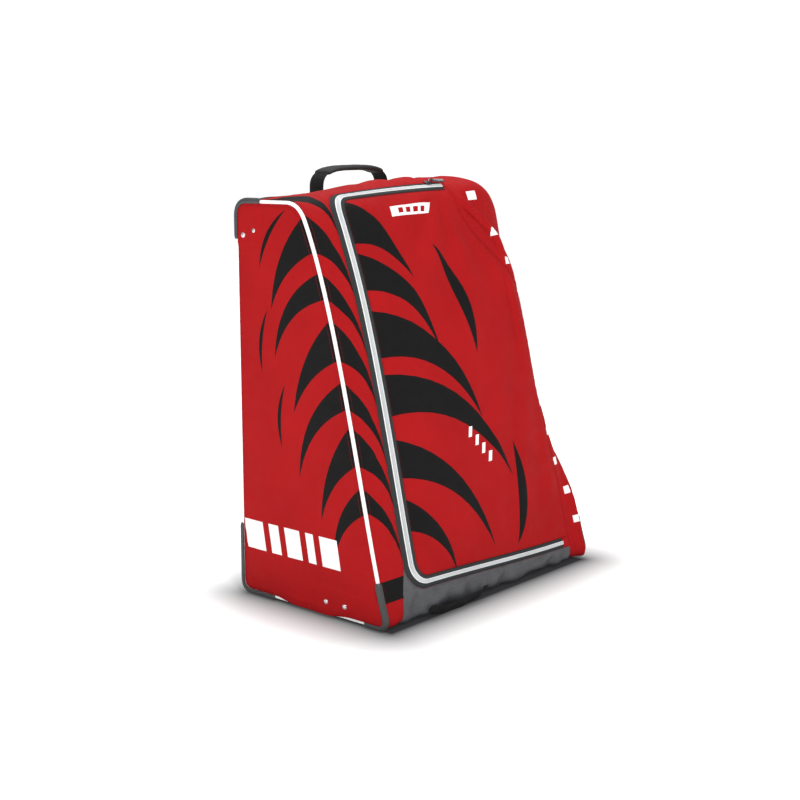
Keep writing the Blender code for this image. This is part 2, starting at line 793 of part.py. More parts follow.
def slider_and_pull():
    """Slider and pull, built upright about the slider's own seat and turned to lie on the brow."""
    frame = slider_frame()
    off = frame.col[2]
    seat = slider_seat(SLIDER_X)
    high_point = max((slider_seat(SLIDER_X - t) - seat - slide_axis() * t).dot(off)
                     for t in spread(0.0, SLIDE_TRAVEL, 12))
    origin = seat + off * (TEETH_RISE + SLIDER_CLEARANCE + max(0.0, high_point))
    half = SLIDER_SIZE / 2
    body = box("zip_slider", (-half.x, -half.y, 0.0), (half.x, half.y, SLIDER_SIZE.z), "zip_metal",
               bevel=0.0008)
    body.data.transform(frame.to_4x4())
    carrier = pivot("zip_slider_pivot", origin)
    body.parent = carrier
    thick = PULL_THICKNESS / 2
    tab = box("zip_pull_tab", (-thick, -PULL_WIDTH / 2, -thick), (PULL_LENGTH, PULL_WIDTH / 2, thick),
              "zip_metal", bevel=thick / 2)
    droop = Matrix.Rotation(math.radians(PULL_DROOP_DEG), 3, "Y")
    tab.data.transform((frame @ droop).to_4x4())
    hinge = frame @ Vector((half.x - 0.002, 0.0, SLIDER_SIZE.z + PULL_LIFT))
    pull = pivot("zip_pull_pivot", origin + hinge)
    tab.parent = pull
    return carrier, pull


def end_tab():
    """Small cloth tab that closes the foot end of the zip."""
    left = ZIP_FOOT_END + 2 * GAP
    low = ZIP_FOOT - ZIP_HALF + GAP
    high = ZIP_FOOT + ZIP_HALF - 2 * SEAM_GAP
    return [[(a, b) for a in spread(left, left + END_TAB_WIDTH, 1)] for b in spread(low, high, 2)]


# ---------------------------------------------------------------- handles
HANDLE_Y = BACK_Y - 0.020
HANDLE_X = -0.026
HANDLE_HALF_SPAN = 0.095
HANDLE_RISE = 0.042
HANDLE_FOOT_LIFT = 0.0062
ANCHOR_HALF = 0.016
ANCHOR_LENGTH = 0.024
ANCHOR_THICKNESS = 0.0022
ANCHOR_LIFT = 0.0030
ANCHOR_START = STATION["back_corner"] + 0.003
STRAP_HALF = 0.019
STRAP_THICKNESS = 0.0024
NECK_HALF = 0.0035
WRAP_FROM, WRAP_TO = 0.27, 0.73


def arch(t):
    """Middle line of the top handle, t from 0 at the left foot to 1 at the right foot."""
    lean = math.cos(math.pi * t)
    x = HANDLE_X - HANDLE_HALF_SPAN * math.copysign(abs(lean) ** 0.62, lean)
    return x, HANDLE_RISE * math.sin(math.pi * t) ** 0.62


def handle_feet():
    """The two places where the top handle leaves the top of the bag, left and right."""
    feet = []
    for side in (-1, 1):
        x = HANDLE_X + side * HANDLE_HALF_SPAN
        feet.append(Vector((x, HANDLE_Y, top_of_skin_at(x) + HANDLE_FOOT_LIFT)))
    return feet


def strap_sections(feet, low, high, steps, half_width, half_thickness):
    """Cross-sections of a flat strap bent along the handle's arch."""
    sections = []
    for t in spread(low, high, steps):
        x, rise = arch(t)
        x0, rise0 = arch(max(t - 0.004, 0.0))
        x1, rise1 = arch(min(t + 0.004, 1.0))
        tangent = Vector((x1 - x0, 0.0, rise1 - rise0)).normalized()
        normal = Vector((-tangent.z, 0.0, tangent.x))
        along = (x - feet[0].x) / (feet[1].x - feet[0].x)
        centre = feet[0].lerp(feet[1], along) + Vector((0.0, 0.0, rise))
        width = half_width(rise)
        sections.append([centre + Vector((0.0, side * width, 0.0)) + normal * lift * half_thickness
                         for side, lift in ((-1, -1), (1, -1), (1, 1), (-1, 1))])
    return sections


def top_handle():
    feet = handle_feet()
    carrier = pivot("top_handle_pivot", (feet[0] + feet[1]) / 2)
    half_strap = STRAP_THICKNESS / 2
    strap = strap_sections(feet, 0.0, 1.0, 28,
                           lambda rise: NECK_HALF + (STRAP_HALF - NECK_HALF)
                           * smooth(rise, 0.002, 0.022), half_strap)
    loft("top_handle_webbing", strap, "webbing", carrier, rounded=False)
    inner = strap_sections(feet, WRAP_FROM, WRAP_TO, 14, lambda rise: STRAP_HALF + GAP,
                           half_strap + GAP)
    outer = strap_sections(feet, WRAP_FROM, WRAP_TO, 14, lambda rise: STRAP_HALF + 0.004, 0.0055)
    tube("top_handle_wrap", inner, outer, "black_fabric", carrier)
    for foot, side_name in zip(feet, ("left", "right")):
        patch("handle_anchor_" + side_name, anchor_grid(foot.x), "webbing", ANCHOR_THICKNESS, ANCHOR_LIFT)
    return carrier


def anchor_grid(x):
    """Places under a handle foot, on the rounded back edge of the top."""
    middle = x - SKIN_LEFT
    return [[(a, b) for a in spread(middle - ANCHOR_HALF, middle + ANCHOR_HALF, 2)]
            for b in spread(ANCHOR_START, ANCHOR_START + ANCHOR_LENGTH, 4)]


def top_of_skin_at(x):
    """Highest point of the skin under a handle foot."""
    return max(skin(a, b).z for row in anchor_grid(x) for a, b in row)


LOW_HANDLE_X = -0.125
LOW_HANDLE_HALF = 0.072


def low_handle():
    """Webbing grab strap that lies round the rounded front edge of the base."""
    hinge = Vector((LOW_HANDLE_X, -BASE_DEPTH / 2 - 0.0035, FLOOR_GAP + 0.020))
    hang = Vector((0.0, 0.50, -0.866))
    out = Vector((0.0, -0.866, -0.50))
    carrier = pivot("low_handle_pivot", hinge)
    thickness = 0.0024
    sections = []
    for t in spread(-1.0, 1.0, 16):
        middle = hinge + Vector((LOW_HANDLE_HALF * t, 0.0, 0.0)) + out * 0.003 * (1 - t * t)
        sections.append([middle + hang * down + out * lift for down, lift in
                         ((0.021, 0.0), (0.021, thickness), (-0.003, thickness), (-0.003, 0.0))])
    loft("low_handle_webbing", sections, "webbing", carrier, rounded=False)
    for side, side_name in ((-1, "left"), (1, "right")):
        inner = LOW_HANDLE_X + side * (LOW_HANDLE_HALF + 0.0005)
        section = [Vector((inner, hinge.y, hinge.z)) + hang * down + out * lift for down, lift in
                   ((0.010, 0.0), (0.010, thickness), (-0.006, thickness), (-0.006, 0.0))]
        far = [point + Vector((side * 0.012, 0.0, 0.0)) for point in section]
        loft("low_handle_anchor_" + side_name, [section, far], "webbing", rounded=False)
    return carrier


# ---------------------------------------------------------------- frame boards, shelf, wheels
def housing_box(side):
    """Corners of a wheel housing, in a back corner of the base."""
    centre_x = side * (HALF - WHEEL_INSET)
    reach = WHEEL_WIDTH / 2 + 0.010
    low = Vector((centre_x - reach, BACK_Y - 0.088, 0.001))
    high = Vector((centre_x + reach, BACK_Y + 0.002, 0.098))
    return low, high


def wheels():
    carriers = {}
    wall = 0.004
    centre_y = BACK_Y + WHEEL_PROUD - WHEEL_RADIUS
    for side, side_name in ((-1, "left"), (1, "right")):
        low, high = housing_box(side)
        housing = box("wheel_housing_" + side_name, low, high, "black_plastic")
        cut(housing, low + Vector((wall, wall, -0.01)), high + Vector((-wall, 0.01, -wall)))
        centre = Vector((side * (HALF - WHEEL_INSET), centre_y, WHEEL_RADIUS))
        carrier = pivot("wheel_" + side_name + "_pivot", centre)
        carriers[side_name] = carrier
        half = WHEEL_WIDTH / 2
        hub, bore = 0.024, 0.0045
        revolve_tube("wheel_hub_" + side_name, centre, bore, hub, half - 0.001, "grey_plastic",
                     carrier)
        revolve_tube("wheel_tread_" + side_name, centre, hub + GAP, WHEEL_RADIUS, half, "tyre",
                     carrier)
        reach = (high.x - low.x) / 2 - wall - GAP
        revolve_x("axle_" + side_name, [(bore - GAP, -reach), (bore - GAP, reach)], centre, 1,
                  "rivet_steel", steps=24)
    return carriers


def revolve_tube(name, centre, inner_radius, outer_radius, half_width, slot, carrier):
    """Ring about an axis along X with eased outer edges."""
    ease = 0.003
    profile = [(inner_radius, -half_width), (outer_radius - ease, -half_width),
               (outer_radius, -half_width + ease), (outer_radius, half_width - ease),
               (outer_radius - ease, half_width), (inner_radius, half_width)]
    sections = []
    for t in spread(0.0, math.tau, 32)[:-1]:
        sections.append([centre + Vector((x, r * math.cos(t), r * math.sin(t))) for r, x in profile])
    loft(name, sections, slot, carrier, closed_path=True)


def boards():
    """Stiff boards behind the back cloth and on the base."""
    back_y = BACK_Y - SHEET - GAP
    inner_half = HALF - 0.026
    back = box("back_board", (-inner_half, back_y - BOARD, FLOOR_GAP + 0.036),
               (inner_half, back_y, FLOOR_GAP + HEIGHT - 0.050), "board")
    floor_z = FLOOR_GAP + SHEET + GAP
    base = box("base_board", (-inner_half, -BACK_Y + 0.040, floor_z),
               (inner_half, BACK_Y - 0.034, floor_z + BOARD), "board")
    for board in (back, base):
        for side in (-1, 1):
            low, high = housing_box(side)
            cut(board, low - Vector.Fill(3, GAP), high + Vector.Fill(3, GAP))
    for side, side_name in ((-1, "left"), (1, "right")):
        x = side * (HALF - 0.085)
        box("front_foot_" + side_name, (x - 0.032, -BACK_Y + 0.045, 0.0),
            (x + 0.032, -BACK_Y + 0.070, FLOOR_GAP - GAP), "black_plastic", bevel=0.001)


def shelf():
    """Fold-up shelf: board hinged on a batten at the back, resting on a ledge at each side."""
    hinge_y = BACK_Y - SHEET - BOARD - 0.018
    box("shelf_batten", (-SHELF_HALF, hinge_y + 0.006, SHELF_HEIGHT - 0.024),
        (SHELF_HALF, BACK_Y - SHEET - BOARD - 2 * GAP, SHELF_HEIGHT + 0.004), "board")
    carrier = pivot("shelf_pivot", (0.0, hinge_y, SHELF_HEIGHT))
    box("shelf_board", (-SHELF_HALF, hinge_y - SHELF_REACH, SHELF_HEIGHT - 0.004),
        (SHELF_HALF, hinge_y + 0.003, SHELF_HEIGHT + 0.004), "black_fabric", carrier, 0.001)
    for side, side_name in ((-1, "left"), (1, "right")):
        outer = HALF - SHEET - 0.002
        if side > 0:
            outer -= SLUMP_WAIST
        xs = sorted((side * (SHELF_HALF - 0.020), side * outer))
        box("shelf_ledge_" + side_name, (xs[0], hinge_y - SHELF_REACH + 0.060, SHELF_HEIGHT - 0.026),
            (xs[1], hinge_y - 0.030, SHELF_HEIGHT - 0.0045), "board")
    return carrier


def door_fittings(door):
    """Blank patch outside the door and the mesh pocket inside it."""
    low = along_at_height(HEIGHT - 0.046)
    high = along_at_height(HEIGHT - 0.022)
    left = 0.215
    grid = [[(a, b) for a in spread(left, left + 0.120, 4)] for b in spread(low, high, 3)]
    patch("blank_patch", grid, "blank_patch", thickness=0.0008, lift=0.0011, carrier=door)
    low = along_at_height(0.150)
    high = along_at_height(0.420)
    grid = [[(a, b) for a in spread(0.130, 0.400, 6)] for b in spread(low, high, 10)]
    patch("door_mesh_pocket", grid, "mesh_fabric", thickness=0.010, lift=-SHEET - GAP, carrier=door)


def fold_line():
    """Straight hinge line of the door, laid against the outside of the cloth along its fold."""
    low = skin(fold_across(ZIP_FOOT), ZIP_FOOT)
    high = skin(fold_across(ZIP_TOP), ZIP_TOP)
    axis = (high - low).normalized()
    outward = Vector((1.0, 0.0, 0.0)).cross(axis).normalized()
    proud = 0.0
    for along in spread(ZIP_FOOT, ZIP_TOP, 40):
        point = skin(fold_across(along), along)
        proud = max(proud, (point - low).dot(outward))
    return low + outward * (proud + 0.0008), axis


# ---------------------------------------------------------------- build
def build():
    clear_scene()
    hinge_point, hinge_axis = fold_line()
    door = pivot("door_pivot", hinge_point)
    panels(door)
    edging()
    fastened_corners()
    zip_half("zip_shell_side", -1)
    zip_half("zip_door_side", 1, door)
    patch("zip_end_tab", end_tab(), "red_fabric", thickness=0.0025, lift=0.0)
    door_fittings(door)
    slider, pull = slider_and_pull()
    handle = top_handle()
    low = low_handle()
    wheel_carriers = wheels()
    boards()
    shelf_carrier = shelf()
    bpy.context.view_layer.update()
    print("joint door", tuple(round(v, 5) for v in hinge_point), tuple(round(v, 5) for v in hinge_axis))
    print("joint slide axis", tuple(round(v, 5) for v in slide_axis()))
    print("joint pull axis", tuple(round(v, 5) for v in -slider_frame().col[1]))
    feet = handle_feet()
    print("joint handle axis", tuple(round(v, 5) for v in (feet[1] - feet[0]).normalized()))
    for carrier in (slider, pull, handle, low, shelf_carrier, *wheel_carriers.values()):
        print("joint", carrier.name, tuple(round(v, 5) for v in carrier.location))


build()
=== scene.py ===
"""Looks of the wheeled hockey equipment bag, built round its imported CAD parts.

The soft outside is the CAD's skin surface, skin(across, along), restated here with finer steps:
`across` runs from the left seam to the right seam, `along` runs up the front, over the top, down
the back and under the base.  A cloth run swells the front and top between their seams.
"""
import json
import math

import bpy
import numpy as np
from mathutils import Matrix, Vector, geometry


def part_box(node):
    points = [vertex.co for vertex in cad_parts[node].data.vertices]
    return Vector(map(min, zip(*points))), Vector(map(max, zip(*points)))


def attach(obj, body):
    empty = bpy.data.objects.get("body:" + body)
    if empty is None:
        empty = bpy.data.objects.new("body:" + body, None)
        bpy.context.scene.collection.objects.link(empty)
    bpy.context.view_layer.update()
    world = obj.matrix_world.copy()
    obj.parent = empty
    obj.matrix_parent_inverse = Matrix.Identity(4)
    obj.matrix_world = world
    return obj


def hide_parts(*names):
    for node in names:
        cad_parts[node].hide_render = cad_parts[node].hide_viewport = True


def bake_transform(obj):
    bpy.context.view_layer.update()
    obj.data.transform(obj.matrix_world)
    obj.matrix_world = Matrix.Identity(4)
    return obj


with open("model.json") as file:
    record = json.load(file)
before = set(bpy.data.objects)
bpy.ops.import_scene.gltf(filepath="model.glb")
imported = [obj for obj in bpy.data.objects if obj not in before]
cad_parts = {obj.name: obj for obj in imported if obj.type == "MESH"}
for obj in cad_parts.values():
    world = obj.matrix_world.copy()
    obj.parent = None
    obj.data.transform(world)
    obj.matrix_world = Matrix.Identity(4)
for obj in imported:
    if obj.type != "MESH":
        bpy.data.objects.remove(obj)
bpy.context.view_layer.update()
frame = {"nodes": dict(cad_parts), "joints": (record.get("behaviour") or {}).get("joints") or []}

# ---------------------------------------------------------------- driving dimensions, as in the CAD
WIDTH = 0.64
BASE_DEPTH = 0.385
TOP_DEPTH = 0.166
HEIGHT = 0.76
FLOOR_GAP = 0.006
SHEET = 0.004
GAP = 0.0003
CORD_RADIUS = 0.0045
CROWN = 0.036
CROWN_DEPTH = 0.115
CROWN_AT_BACK = 0.25
CROWN_AT_BROW = 0.66
CROWN_START_DEPTH = 0.040
CROWN_BAND = 0.09
CROWN_SPAN = 0.85
BELLY = 0.006
SLUMP_WAIST = 0.030
SLUMP_DEPTH = 0.070
SLUMP_DROP = 0.045
ROLL_WIDTH = 0.090
ROLL_LENGTH = 0.115
SHOULDER = 0.042
SHOULDER_LOW = 0.60
SHOULDER_BAND = 0.02
TAPE_EDGE = 0.0160
ZIP_CORNER = 0.040
ZIP_LEFT = 0.083
ZIP_FOOT_HEIGHT = 0.052
ZIP_TOP_SETBACK = -0.024
CREASE_IN_ROLL = 0.034
ZIP_TOP_SHORT = 0.008
ZIP_FOOT_SHORT = 0.022
TOP_CREASE_X = 0.105

HALF = WIDTH / 2
BACK_Y = BASE_DEPTH / 2
EDGE_INSET = 2 * CORD_RADIUS + GAP
SKIN_LEFT = -HALF + EDGE_INSET
ROLL_START_X = HALF - ROLL_WIDTH
ROLL_START = ROLL_START_X - SKIN_LEFT
ACROSS = ROLL_START + ROLL_LENGTH
TOP_CREASE = TOP_CREASE_X - SKIN_LEFT
ZIP_RIGHT_TOP = TOP_CREASE - ZIP_TOP_SHORT
CREASE = ROLL_START + CREASE_IN_ROLL
ZIP_FOOT_END = CREASE - ZIP_FOOT_SHORT
SIDES = ((-1, "left"), (1, "right"))


# ---------------------------------------------------------------- side outline
def bezier(handles, t):
    """Points of a Bezier curve of any degree, at an array of t."""
    t = np.asarray(t)[:, None]
    points = [np.array(handle, float)[None, :] for handle in handles]
    while len(points) > 1:
        points = [a * (1 - t) + b * t for a, b in zip(points, points[1:])]
    return points[0]


def flat_points(*columns):
    """Array of points from one array for each coordinate."""
    return np.stack(np.broadcast_arrays(*columns), axis=-1)


def turn(steps):
    """Even angles once round a circle."""
    return np.linspace(0.0, math.tau, steps + 1)[:-1]


def run_length(points):
    """Distance along a line of points, at each of them."""
    return np.concatenate(([0.0], np.cumsum(np.linalg.norm(np.diff(points, axis=0), axis=1))))


def side_outline():
    """Side outline as (depth from the back, height), with the length at each point and named place."""
    toe, brow = np.array((BASE_DEPTH, 0.0)), np.array((TOP_DEPTH, HEIGHT))
    toe_handle = np.array((0.870 * BASE_DEPTH, 0.157 * HEIGHT))
    brow_handle = np.array((0.690 * BASE_DEPTH, 0.784 * HEIGHT))
    slope = (toe, toe_handle, brow_handle, brow)
    toe_round, brow_round, back_round, heel_round = 0.030, 0.032, 0.034, 0.026
    t_toe = toe_round / (3 * np.linalg.norm(toe_handle - toe))
    t_brow = 1 - brow_round / (3 * np.linalg.norm(brow - brow_handle))
    slope_start, slope_end = bezier(slope, [t_toe])[0], bezier(slope, [t_brow])[0]
    base_front = (BASE_DEPTH - toe_round, 0.0)
    top_front = (TOP_DEPTH - brow_round, HEIGHT)
    top_back, back_top = (back_round, HEIGHT), (0.0, HEIGHT - back_round)
    back_low, base_back = (0.0, heel_round), (heel_round, 0.0)
    legs = (
        ("toe", (base_front, toe, slope_start), 30),
        ("front", None, 120),
        ("brow", (slope_end, brow, top_front), 40),
        ("top", (top_front, top_back), 12),
        ("back_corner", (top_back, (0.0, HEIGHT), back_top), 40),
        ("back", (back_top, back_low), 60),
        ("heel", (back_low, (0.0, 0.0), base_back), 30),
        ("base", (base_back, base_front), 40),
    )
    points, first = [], {}
    for name, handles, steps in legs:
        t = np.arange(steps) / steps
        first[name] = len(points)
        if handles is None:
            points += list(bezier(slope, t_toe + (t_brow - t_toe) * t))
        else:
            points += list(bezier(handles, t))
    points = np.array(points + [points[0]])
    lengths = run_length(points)
    return points, lengths, {name: lengths[i] for name, i in first.items()}


OUTLINE, LENGTHS, STATION = side_outline()
LOOP = LENGTHS[-1]
FINE_STEP = 0.003
NEARBY = 0.001


def rim(along):
    """Depth from the back and height of the side outline, at distances along it."""
    along = np.mod(along, LOOP)
    return np.interp(along, LENGTHS, OUTLINE[:, 0]), np.interp(along, LENGTHS, OUTLINE[:, 1])


def rim_outward(along):
    """Unit normal of the side outline, pointing out of the bag, as (depth, height)."""
    ahead, behind = rim(along + FINE_STEP), rim(along - FINE_STEP)
    run, rise = ahead[0] - behind[0], ahead[1] - behind[1]
    size = np.hypot(run, rise)
    return rise / size, -run / size


def inside_rim(along, inset):
    """Depth and height of a line inside the side outline, a distance from it."""
    depth, height = rim(along)
    out_depth, out_height = rim_outward(along)
    return depth - out_depth * inset, height - out_height * inset


def along_at_height(height):
    """Distance along the front at which the outline reaches a height."""
    front = (LENGTHS < STATION["top"])
    return float(np.interp(height, OUTLINE[front, 1], LENGTHS[front]))


FRONT_HEIGHTS = np.linspace(0.0, 0.94 * HEIGHT, 60)
FRONT_DEPTHS = rim(np.array([along_at_height(height) for height in FRONT_HEIGHTS]))[0]


def front_depth(height):
    return np.interp(height, FRONT_HEIGHTS, FRONT_DEPTHS)


ZIP_FOOT = along_at_height(ZIP_FOOT_HEIGHT)
ZIP_TOP = STATION["top"] + ZIP_TOP_SETBACK
KICK_START = STATION["toe"] + 0.004
BACK_SEAM = STATION["back_corner"] + 0.024
INNER_LEFT = ZIP_LEFT + ZIP_CORNER


# ---------------------------------------------------------------- skin surface
def smooth(value, low, high):
    """Smooth step from 0 at low to 1 at high."""
    t = np.clip((value - low) / (high - low), 0.0, 1.0)
    return t * t * (3 - 2 * t)


def slump(depth, height):
    """How far the soft right edge sinks: waist inward, recession backward, drop downward."""
    rise = smooth(height, 0.11, 0.39)
    forward = smooth(depth, 0.062, front_depth(height))
    waist = SLUMP_WAIST * rise * smooth(depth, 0.085, front_depth(height) + 0.020)
    recession = (SLUMP_DEPTH - 0.018 * smooth(height, 0.55, HEIGHT)) * rise * forward
    drop = SLUMP_DROP * smooth(height, 0.45, HEIGHT) * forward
    return waist, recession, drop


def place(x, depth, height):
    """World position from a side-to-side place, a depth from the back and a height of the shell."""
    return flat_points(x, BACK_Y - depth, height + FLOOR_GAP)


def foot_tilt(across, along):
    """The cloth hangs lower at the right of the zip's foot and is drawn up at its left."""
    near = smooth(along, KICK_START, ZIP_FOOT) * (1 - smooth(along, ZIP_FOOT + 0.02, 0.32))
    return near * (0.013 - 0.023 * smooth(across, 0.02, 0.60))


def crown_share(depth):
    """Share of the crown from back to front: highest in the middle of the top, like a cushion."""
    behind = CROWN_AT_BACK + (1 - CROWN_AT_BACK) * smooth(depth, CROWN_START_DEPTH, CROWN_DEPTH)
    ahead = 1 - (1 - CROWN_AT_BROW) * smooth(depth, CROWN_DEPTH, TOP_DEPTH)
    return np.minimum(behind, ahead)


def skin(across, along):
    """Points of the outer skin."""
    across, along = np.broadcast_arrays(np.asarray(across, float), np.asarray(along, float))
    along = along + foot_tilt(across, along)
    depth, height = rim(along)
    swell = np.sin(math.pi / 2 * np.clip(across / (CROWN_SPAN * ROLL_START), 0.0, 1.0))
    crown = CROWN * swell * smooth(height, HEIGHT - CROWN_BAND, HEIGHT) * crown_share(depth)
    belly = BELLY * np.sin(math.pi * across / ACROSS) * np.sin(math.pi * height / HEIGHT)
    belly = np.where(depth < TOP_DEPTH * 0.6, 0.0, belly)
    waist, recession, drop = slump(depth, height)
    start = ROLL_START - SHOULDER * smooth(height, SHOULDER_LOW, HEIGHT - SHOULDER_BAND)
    turn = math.pi / 2 * np.maximum(across - start, 0.0) / (ACROSS - start)
    reach = HALF - waist - EDGE_INSET - SKIN_LEFT - start
    x = np.where(across > start, SKIN_LEFT + start + reach * np.sin(turn), SKIN_LEFT + across)
    fall = 1 - np.cos(turn)
    return place(x, (depth + belly) * (1 - fall) + (depth - recession) * fall,
                 (height + crown) * (1 - fall) + (height - drop) * fall)


def unit(vectors):
    return vectors / np.linalg.norm(vectors, axis=-1, keepdims=True)


def skin_outward(across, along):
    """Unit normals of the skin, pointing out of the bag."""
    right, left = np.minimum(across + FINE_STEP, ACROSS), np.maximum(across - FINE_STEP, 0.0)
    side = skin(right, along) - skin(left, along)
    up = skin(across, along + FINE_STEP) - skin(across, along - FINE_STEP)
    return unit(np.cross(side, up))


def raised(across, along, lift):
    """Points a distance off the skin."""
    return skin(across, along) + skin_outward(across, along) * np.asarray(lift)[..., None]


def side_point(side, depth, height, inward):
    """Points of a side panel, a distance inward of its face."""
    waist, recession, drop = slump(depth, height)
    if side < 0:
        waist, recession, drop = 0.0, 0.0, 0.0
    return place(side * (HALF - waist - inward), depth - recession, height - drop)


def fold_across(along):
    """Straight fold on which the door swings, between the two ends of the zip."""
    t = (along - ZIP_FOOT) / (ZIP_TOP - ZIP_FOOT)
    bottom, top = CREASE - 0.010, ZIP_RIGHT_TOP + 0.0045
    return bottom + (top - bottom) * t


def crease_across(along):
    """Sewn crease between the door's cloth and the right-hand strip."""
    lean = np.where(along > STATION["top"], 1.0, smooth(rim(along)[1], 0.50, HEIGHT - 0.01))
    return np.maximum(CREASE + (TOP_CREASE - CREASE) * lean ** 1.5, fold_across(along) + 0.005)


def across_at(x):
    """Place across the skin of a side-to-side place on the back or the base."""
    if x < ROLL_START_X:
        return x - SKIN_LEFT
    reach = HALF - EDGE_INSET - ROLL_START_X
    return ROLL_START + ROLL_LENGTH * math.asin(min(1.0, (x - ROLL_START_X) / reach)) / (math.pi / 2)


# ---------------------------------------------------------------- zip path
def zip_width(into_x):
    """The zip lies flat where it runs up the front and turns partly edge-on along its top and foot."""
    return 0.58 + 0.42 * np.abs(into_x)


def zip_arc(centre_along, offset, start_deg, end_deg):
    """Corner of the zip line about its own centre, with the offset narrowed towards the level end."""
    t = np.radians(np.linspace(start_deg, end_deg, 15))
    radius = ZIP_CORNER - offset * zip_width(np.cos(t))
    return flat_points(INNER_LEFT + radius * np.cos(t), centre_along + radius * np.sin(t))


def zip_top_part(offset):
    """Top run and top corner of the zip line, moved a distance into the door (out, if negative)."""
    level = offset * float(zip_width(0.0))
    return np.vstack(([(ZIP_RIGHT_TOP, ZIP_TOP - level)], zip_arc(ZIP_TOP - ZIP_CORNER, offset, 90, 180)))


def zip_foot_part(offset):
    """Foot corner and foot run of the zip line, moved a distance into the door (out, if negative)."""
    level = offset * float(zip_width(0.0))
    return np.vstack((zip_arc(ZIP_FOOT + ZIP_CORNER, offset, 180, 270), [(ZIP_FOOT_END, ZIP_FOOT + level)]))


def zip_line(offset):
    """Line of the zip from the top's right end round both left corners to the foot's right end."""
    return np.vstack((zip_top_part(offset), zip_foot_part(offset)))


def resample(line, pitch):
    """Even steps along a line of 2-D points."""
    lengths = run_length(line)
    stops = np.linspace(0.0, lengths[-1], max(1, round(lengths[-1] / pitch)) + 1)
    return flat_points(*(np.interp(stops, lengths, line[:, k]) for k in (0, 1)))


def nearest(points, targets):
    """Distance from each 2-D point to the nearest target."""
    best = np.full(len(points), np.inf)
    for start in range(0, len(targets), 200):
        block = targets[None, start:start + 200]
        best = np.minimum(best, np.linalg.norm(points[:, None] - block, axis=2).min(axis=1))
    return best


# ---------------------------------------------------------------- cloth run
SIM_PITCH = 0.007
SIM_FRAMES = 20
SEAM_PITCH = 0.003
SEAM_HOLD = 0.012
START_RIPPLE = 0.0006
SWELL_CAP = 0.0075


def seam_lines():
    """Every sewn line of the front and top, as one cloud of (across, along) points."""
    rows = np.arange(KICK_START, BACK_SEAM, SEAM_PITCH)
    columns = np.arange(0.0, ACROSS, SEAM_PITCH)
    lines = [flat_points(across, rows) for across in (0.0, ACROSS, crease_across(rows))]
    lines += [resample(zip_line(offset), SEAM_PITCH) for offset in (TAPE_EDGE, -TAPE_EDGE, 0.0)]
    lines += [flat_points(columns, along) for along in (KICK_START, BACK_SEAM)]
    return np.vstack(lines)


SEAMS = seam_lines()


def run_cloth():
    """Swelling of the front and top off the skin, from a cloth sheet pinned along its seams."""
    across = np.linspace(0.0, ACROSS, int(ACROSS / SIM_PITCH))
    along = np.linspace(KICK_START, BACK_SEAM, int(BACK_SEAM / SIM_PITCH))
    u, v = np.meshgrid(across, along)
    rest, outward = skin(u, v), skin_outward(u, v)
    loose = np.clip(nearest(flat_points(u.ravel(), v.ravel()), SEAMS) / SEAM_HOLD, 0.0, 1.0)
    ripple = np.sin(61.0 * u + 37.0 * v) * np.sin(23.0 * u - 53.0 * v + 1.3)
    start = rest + outward * (START_RIPPLE * ripple * loose.reshape(u.shape))[..., None]
    rows, columns = u.shape
    index = np.arange(rows * columns).reshape(rows, columns)
    faces = np.stack((index[:-1, :-1], index[:-1, 1:], index[1:, 1:], index[1:, :-1]), axis=-1)
    mesh = bpy.data.meshes.new("cloth_run")
    mesh.from_pydata(start.reshape(-1, 3).tolist(), [], faces.reshape(-1, 4).tolist())
    sheet = bpy.data.objects.new("cloth_run", mesh)
    bpy.context.collection.objects.link(sheet)
    pins = sheet.vertex_groups.new(name="pins")
    for i in np.flatnonzero(loose < 0.5):
        pins.add([int(i)], 1.0, "REPLACE")
    settings = sheet.modifiers.new("cloth", "CLOTH").settings
    settings.quality = 4
    settings.mass = 0.25
    settings.tension_stiffness = settings.compression_stiffness = 18.0
    settings.bending_stiffness = 1.2
    settings.vertex_group_mass = "pins"
    settings.use_pressure = True
    settings.uniform_pressure_force = 1.1
    settings.shrink_min = settings.shrink_max = -0.010
    settings.effector_weights.gravity = 0.0
    for number in range(1, SIM_FRAMES + 1):
        bpy.context.scene.frame_set(number)
    graph = bpy.context.evaluated_depsgraph_get()
    moved = sheet.evaluated_get(graph).to_mesh()
    ended = np.empty(rows * columns * 3, np.float32)
    moved.vertices.foreach_get("co", ended)
    bpy.context.scene.frame_set(1)
    bpy.data.objects.remove(sheet, do_unlink=True)
    swell = ((ended.reshape(rows, columns, 3) - rest) * outward).sum(axis=-1)
    return across, along, SWELL_CAP * np.tanh(np.maximum(swell, -0.001) / (1.6 * SWELL_CAP))


SWELL = run_cloth()


def lookup(grid, across, along):
    """Value of a grid laid over (across, along), blended between its points."""
    columns, rows, values = grid
    c = np.clip((across - columns[0]) / (columns[1] - columns[0]), 0, len(columns) - 1.001)
    r = np.clip((along - rows[0]) / (rows[1] - rows[0]), 0, len(rows) - 1.001)
    i, j = r.astype(int), c.astype(int)
    s, t = r - i, c - j
    low = values[i, j] * (1 - t) + values[i, j + 1] * t
    high = values[i + 1, j] * (1 - t) + values[i + 1, j + 1] * t
    return low * (1 - s) + high * s


def pucker(seam_distance, beside, depth=0.0016, pitch=0.019):
    """Cloth gathered by a seam: a sunk edge with small ripples that fade away from it."""
    sunk = -depth * np.exp(-seam_distance / 0.0030)
    ripples = 0.0006 * np.sin(beside * math.tau / pitch + 2.0 * np.sin(beside * 31.0))
    return sunk + ripples * np.exp(-seam_distance / 0.016) * smooth(seam_distance, 0.0, 0.006)


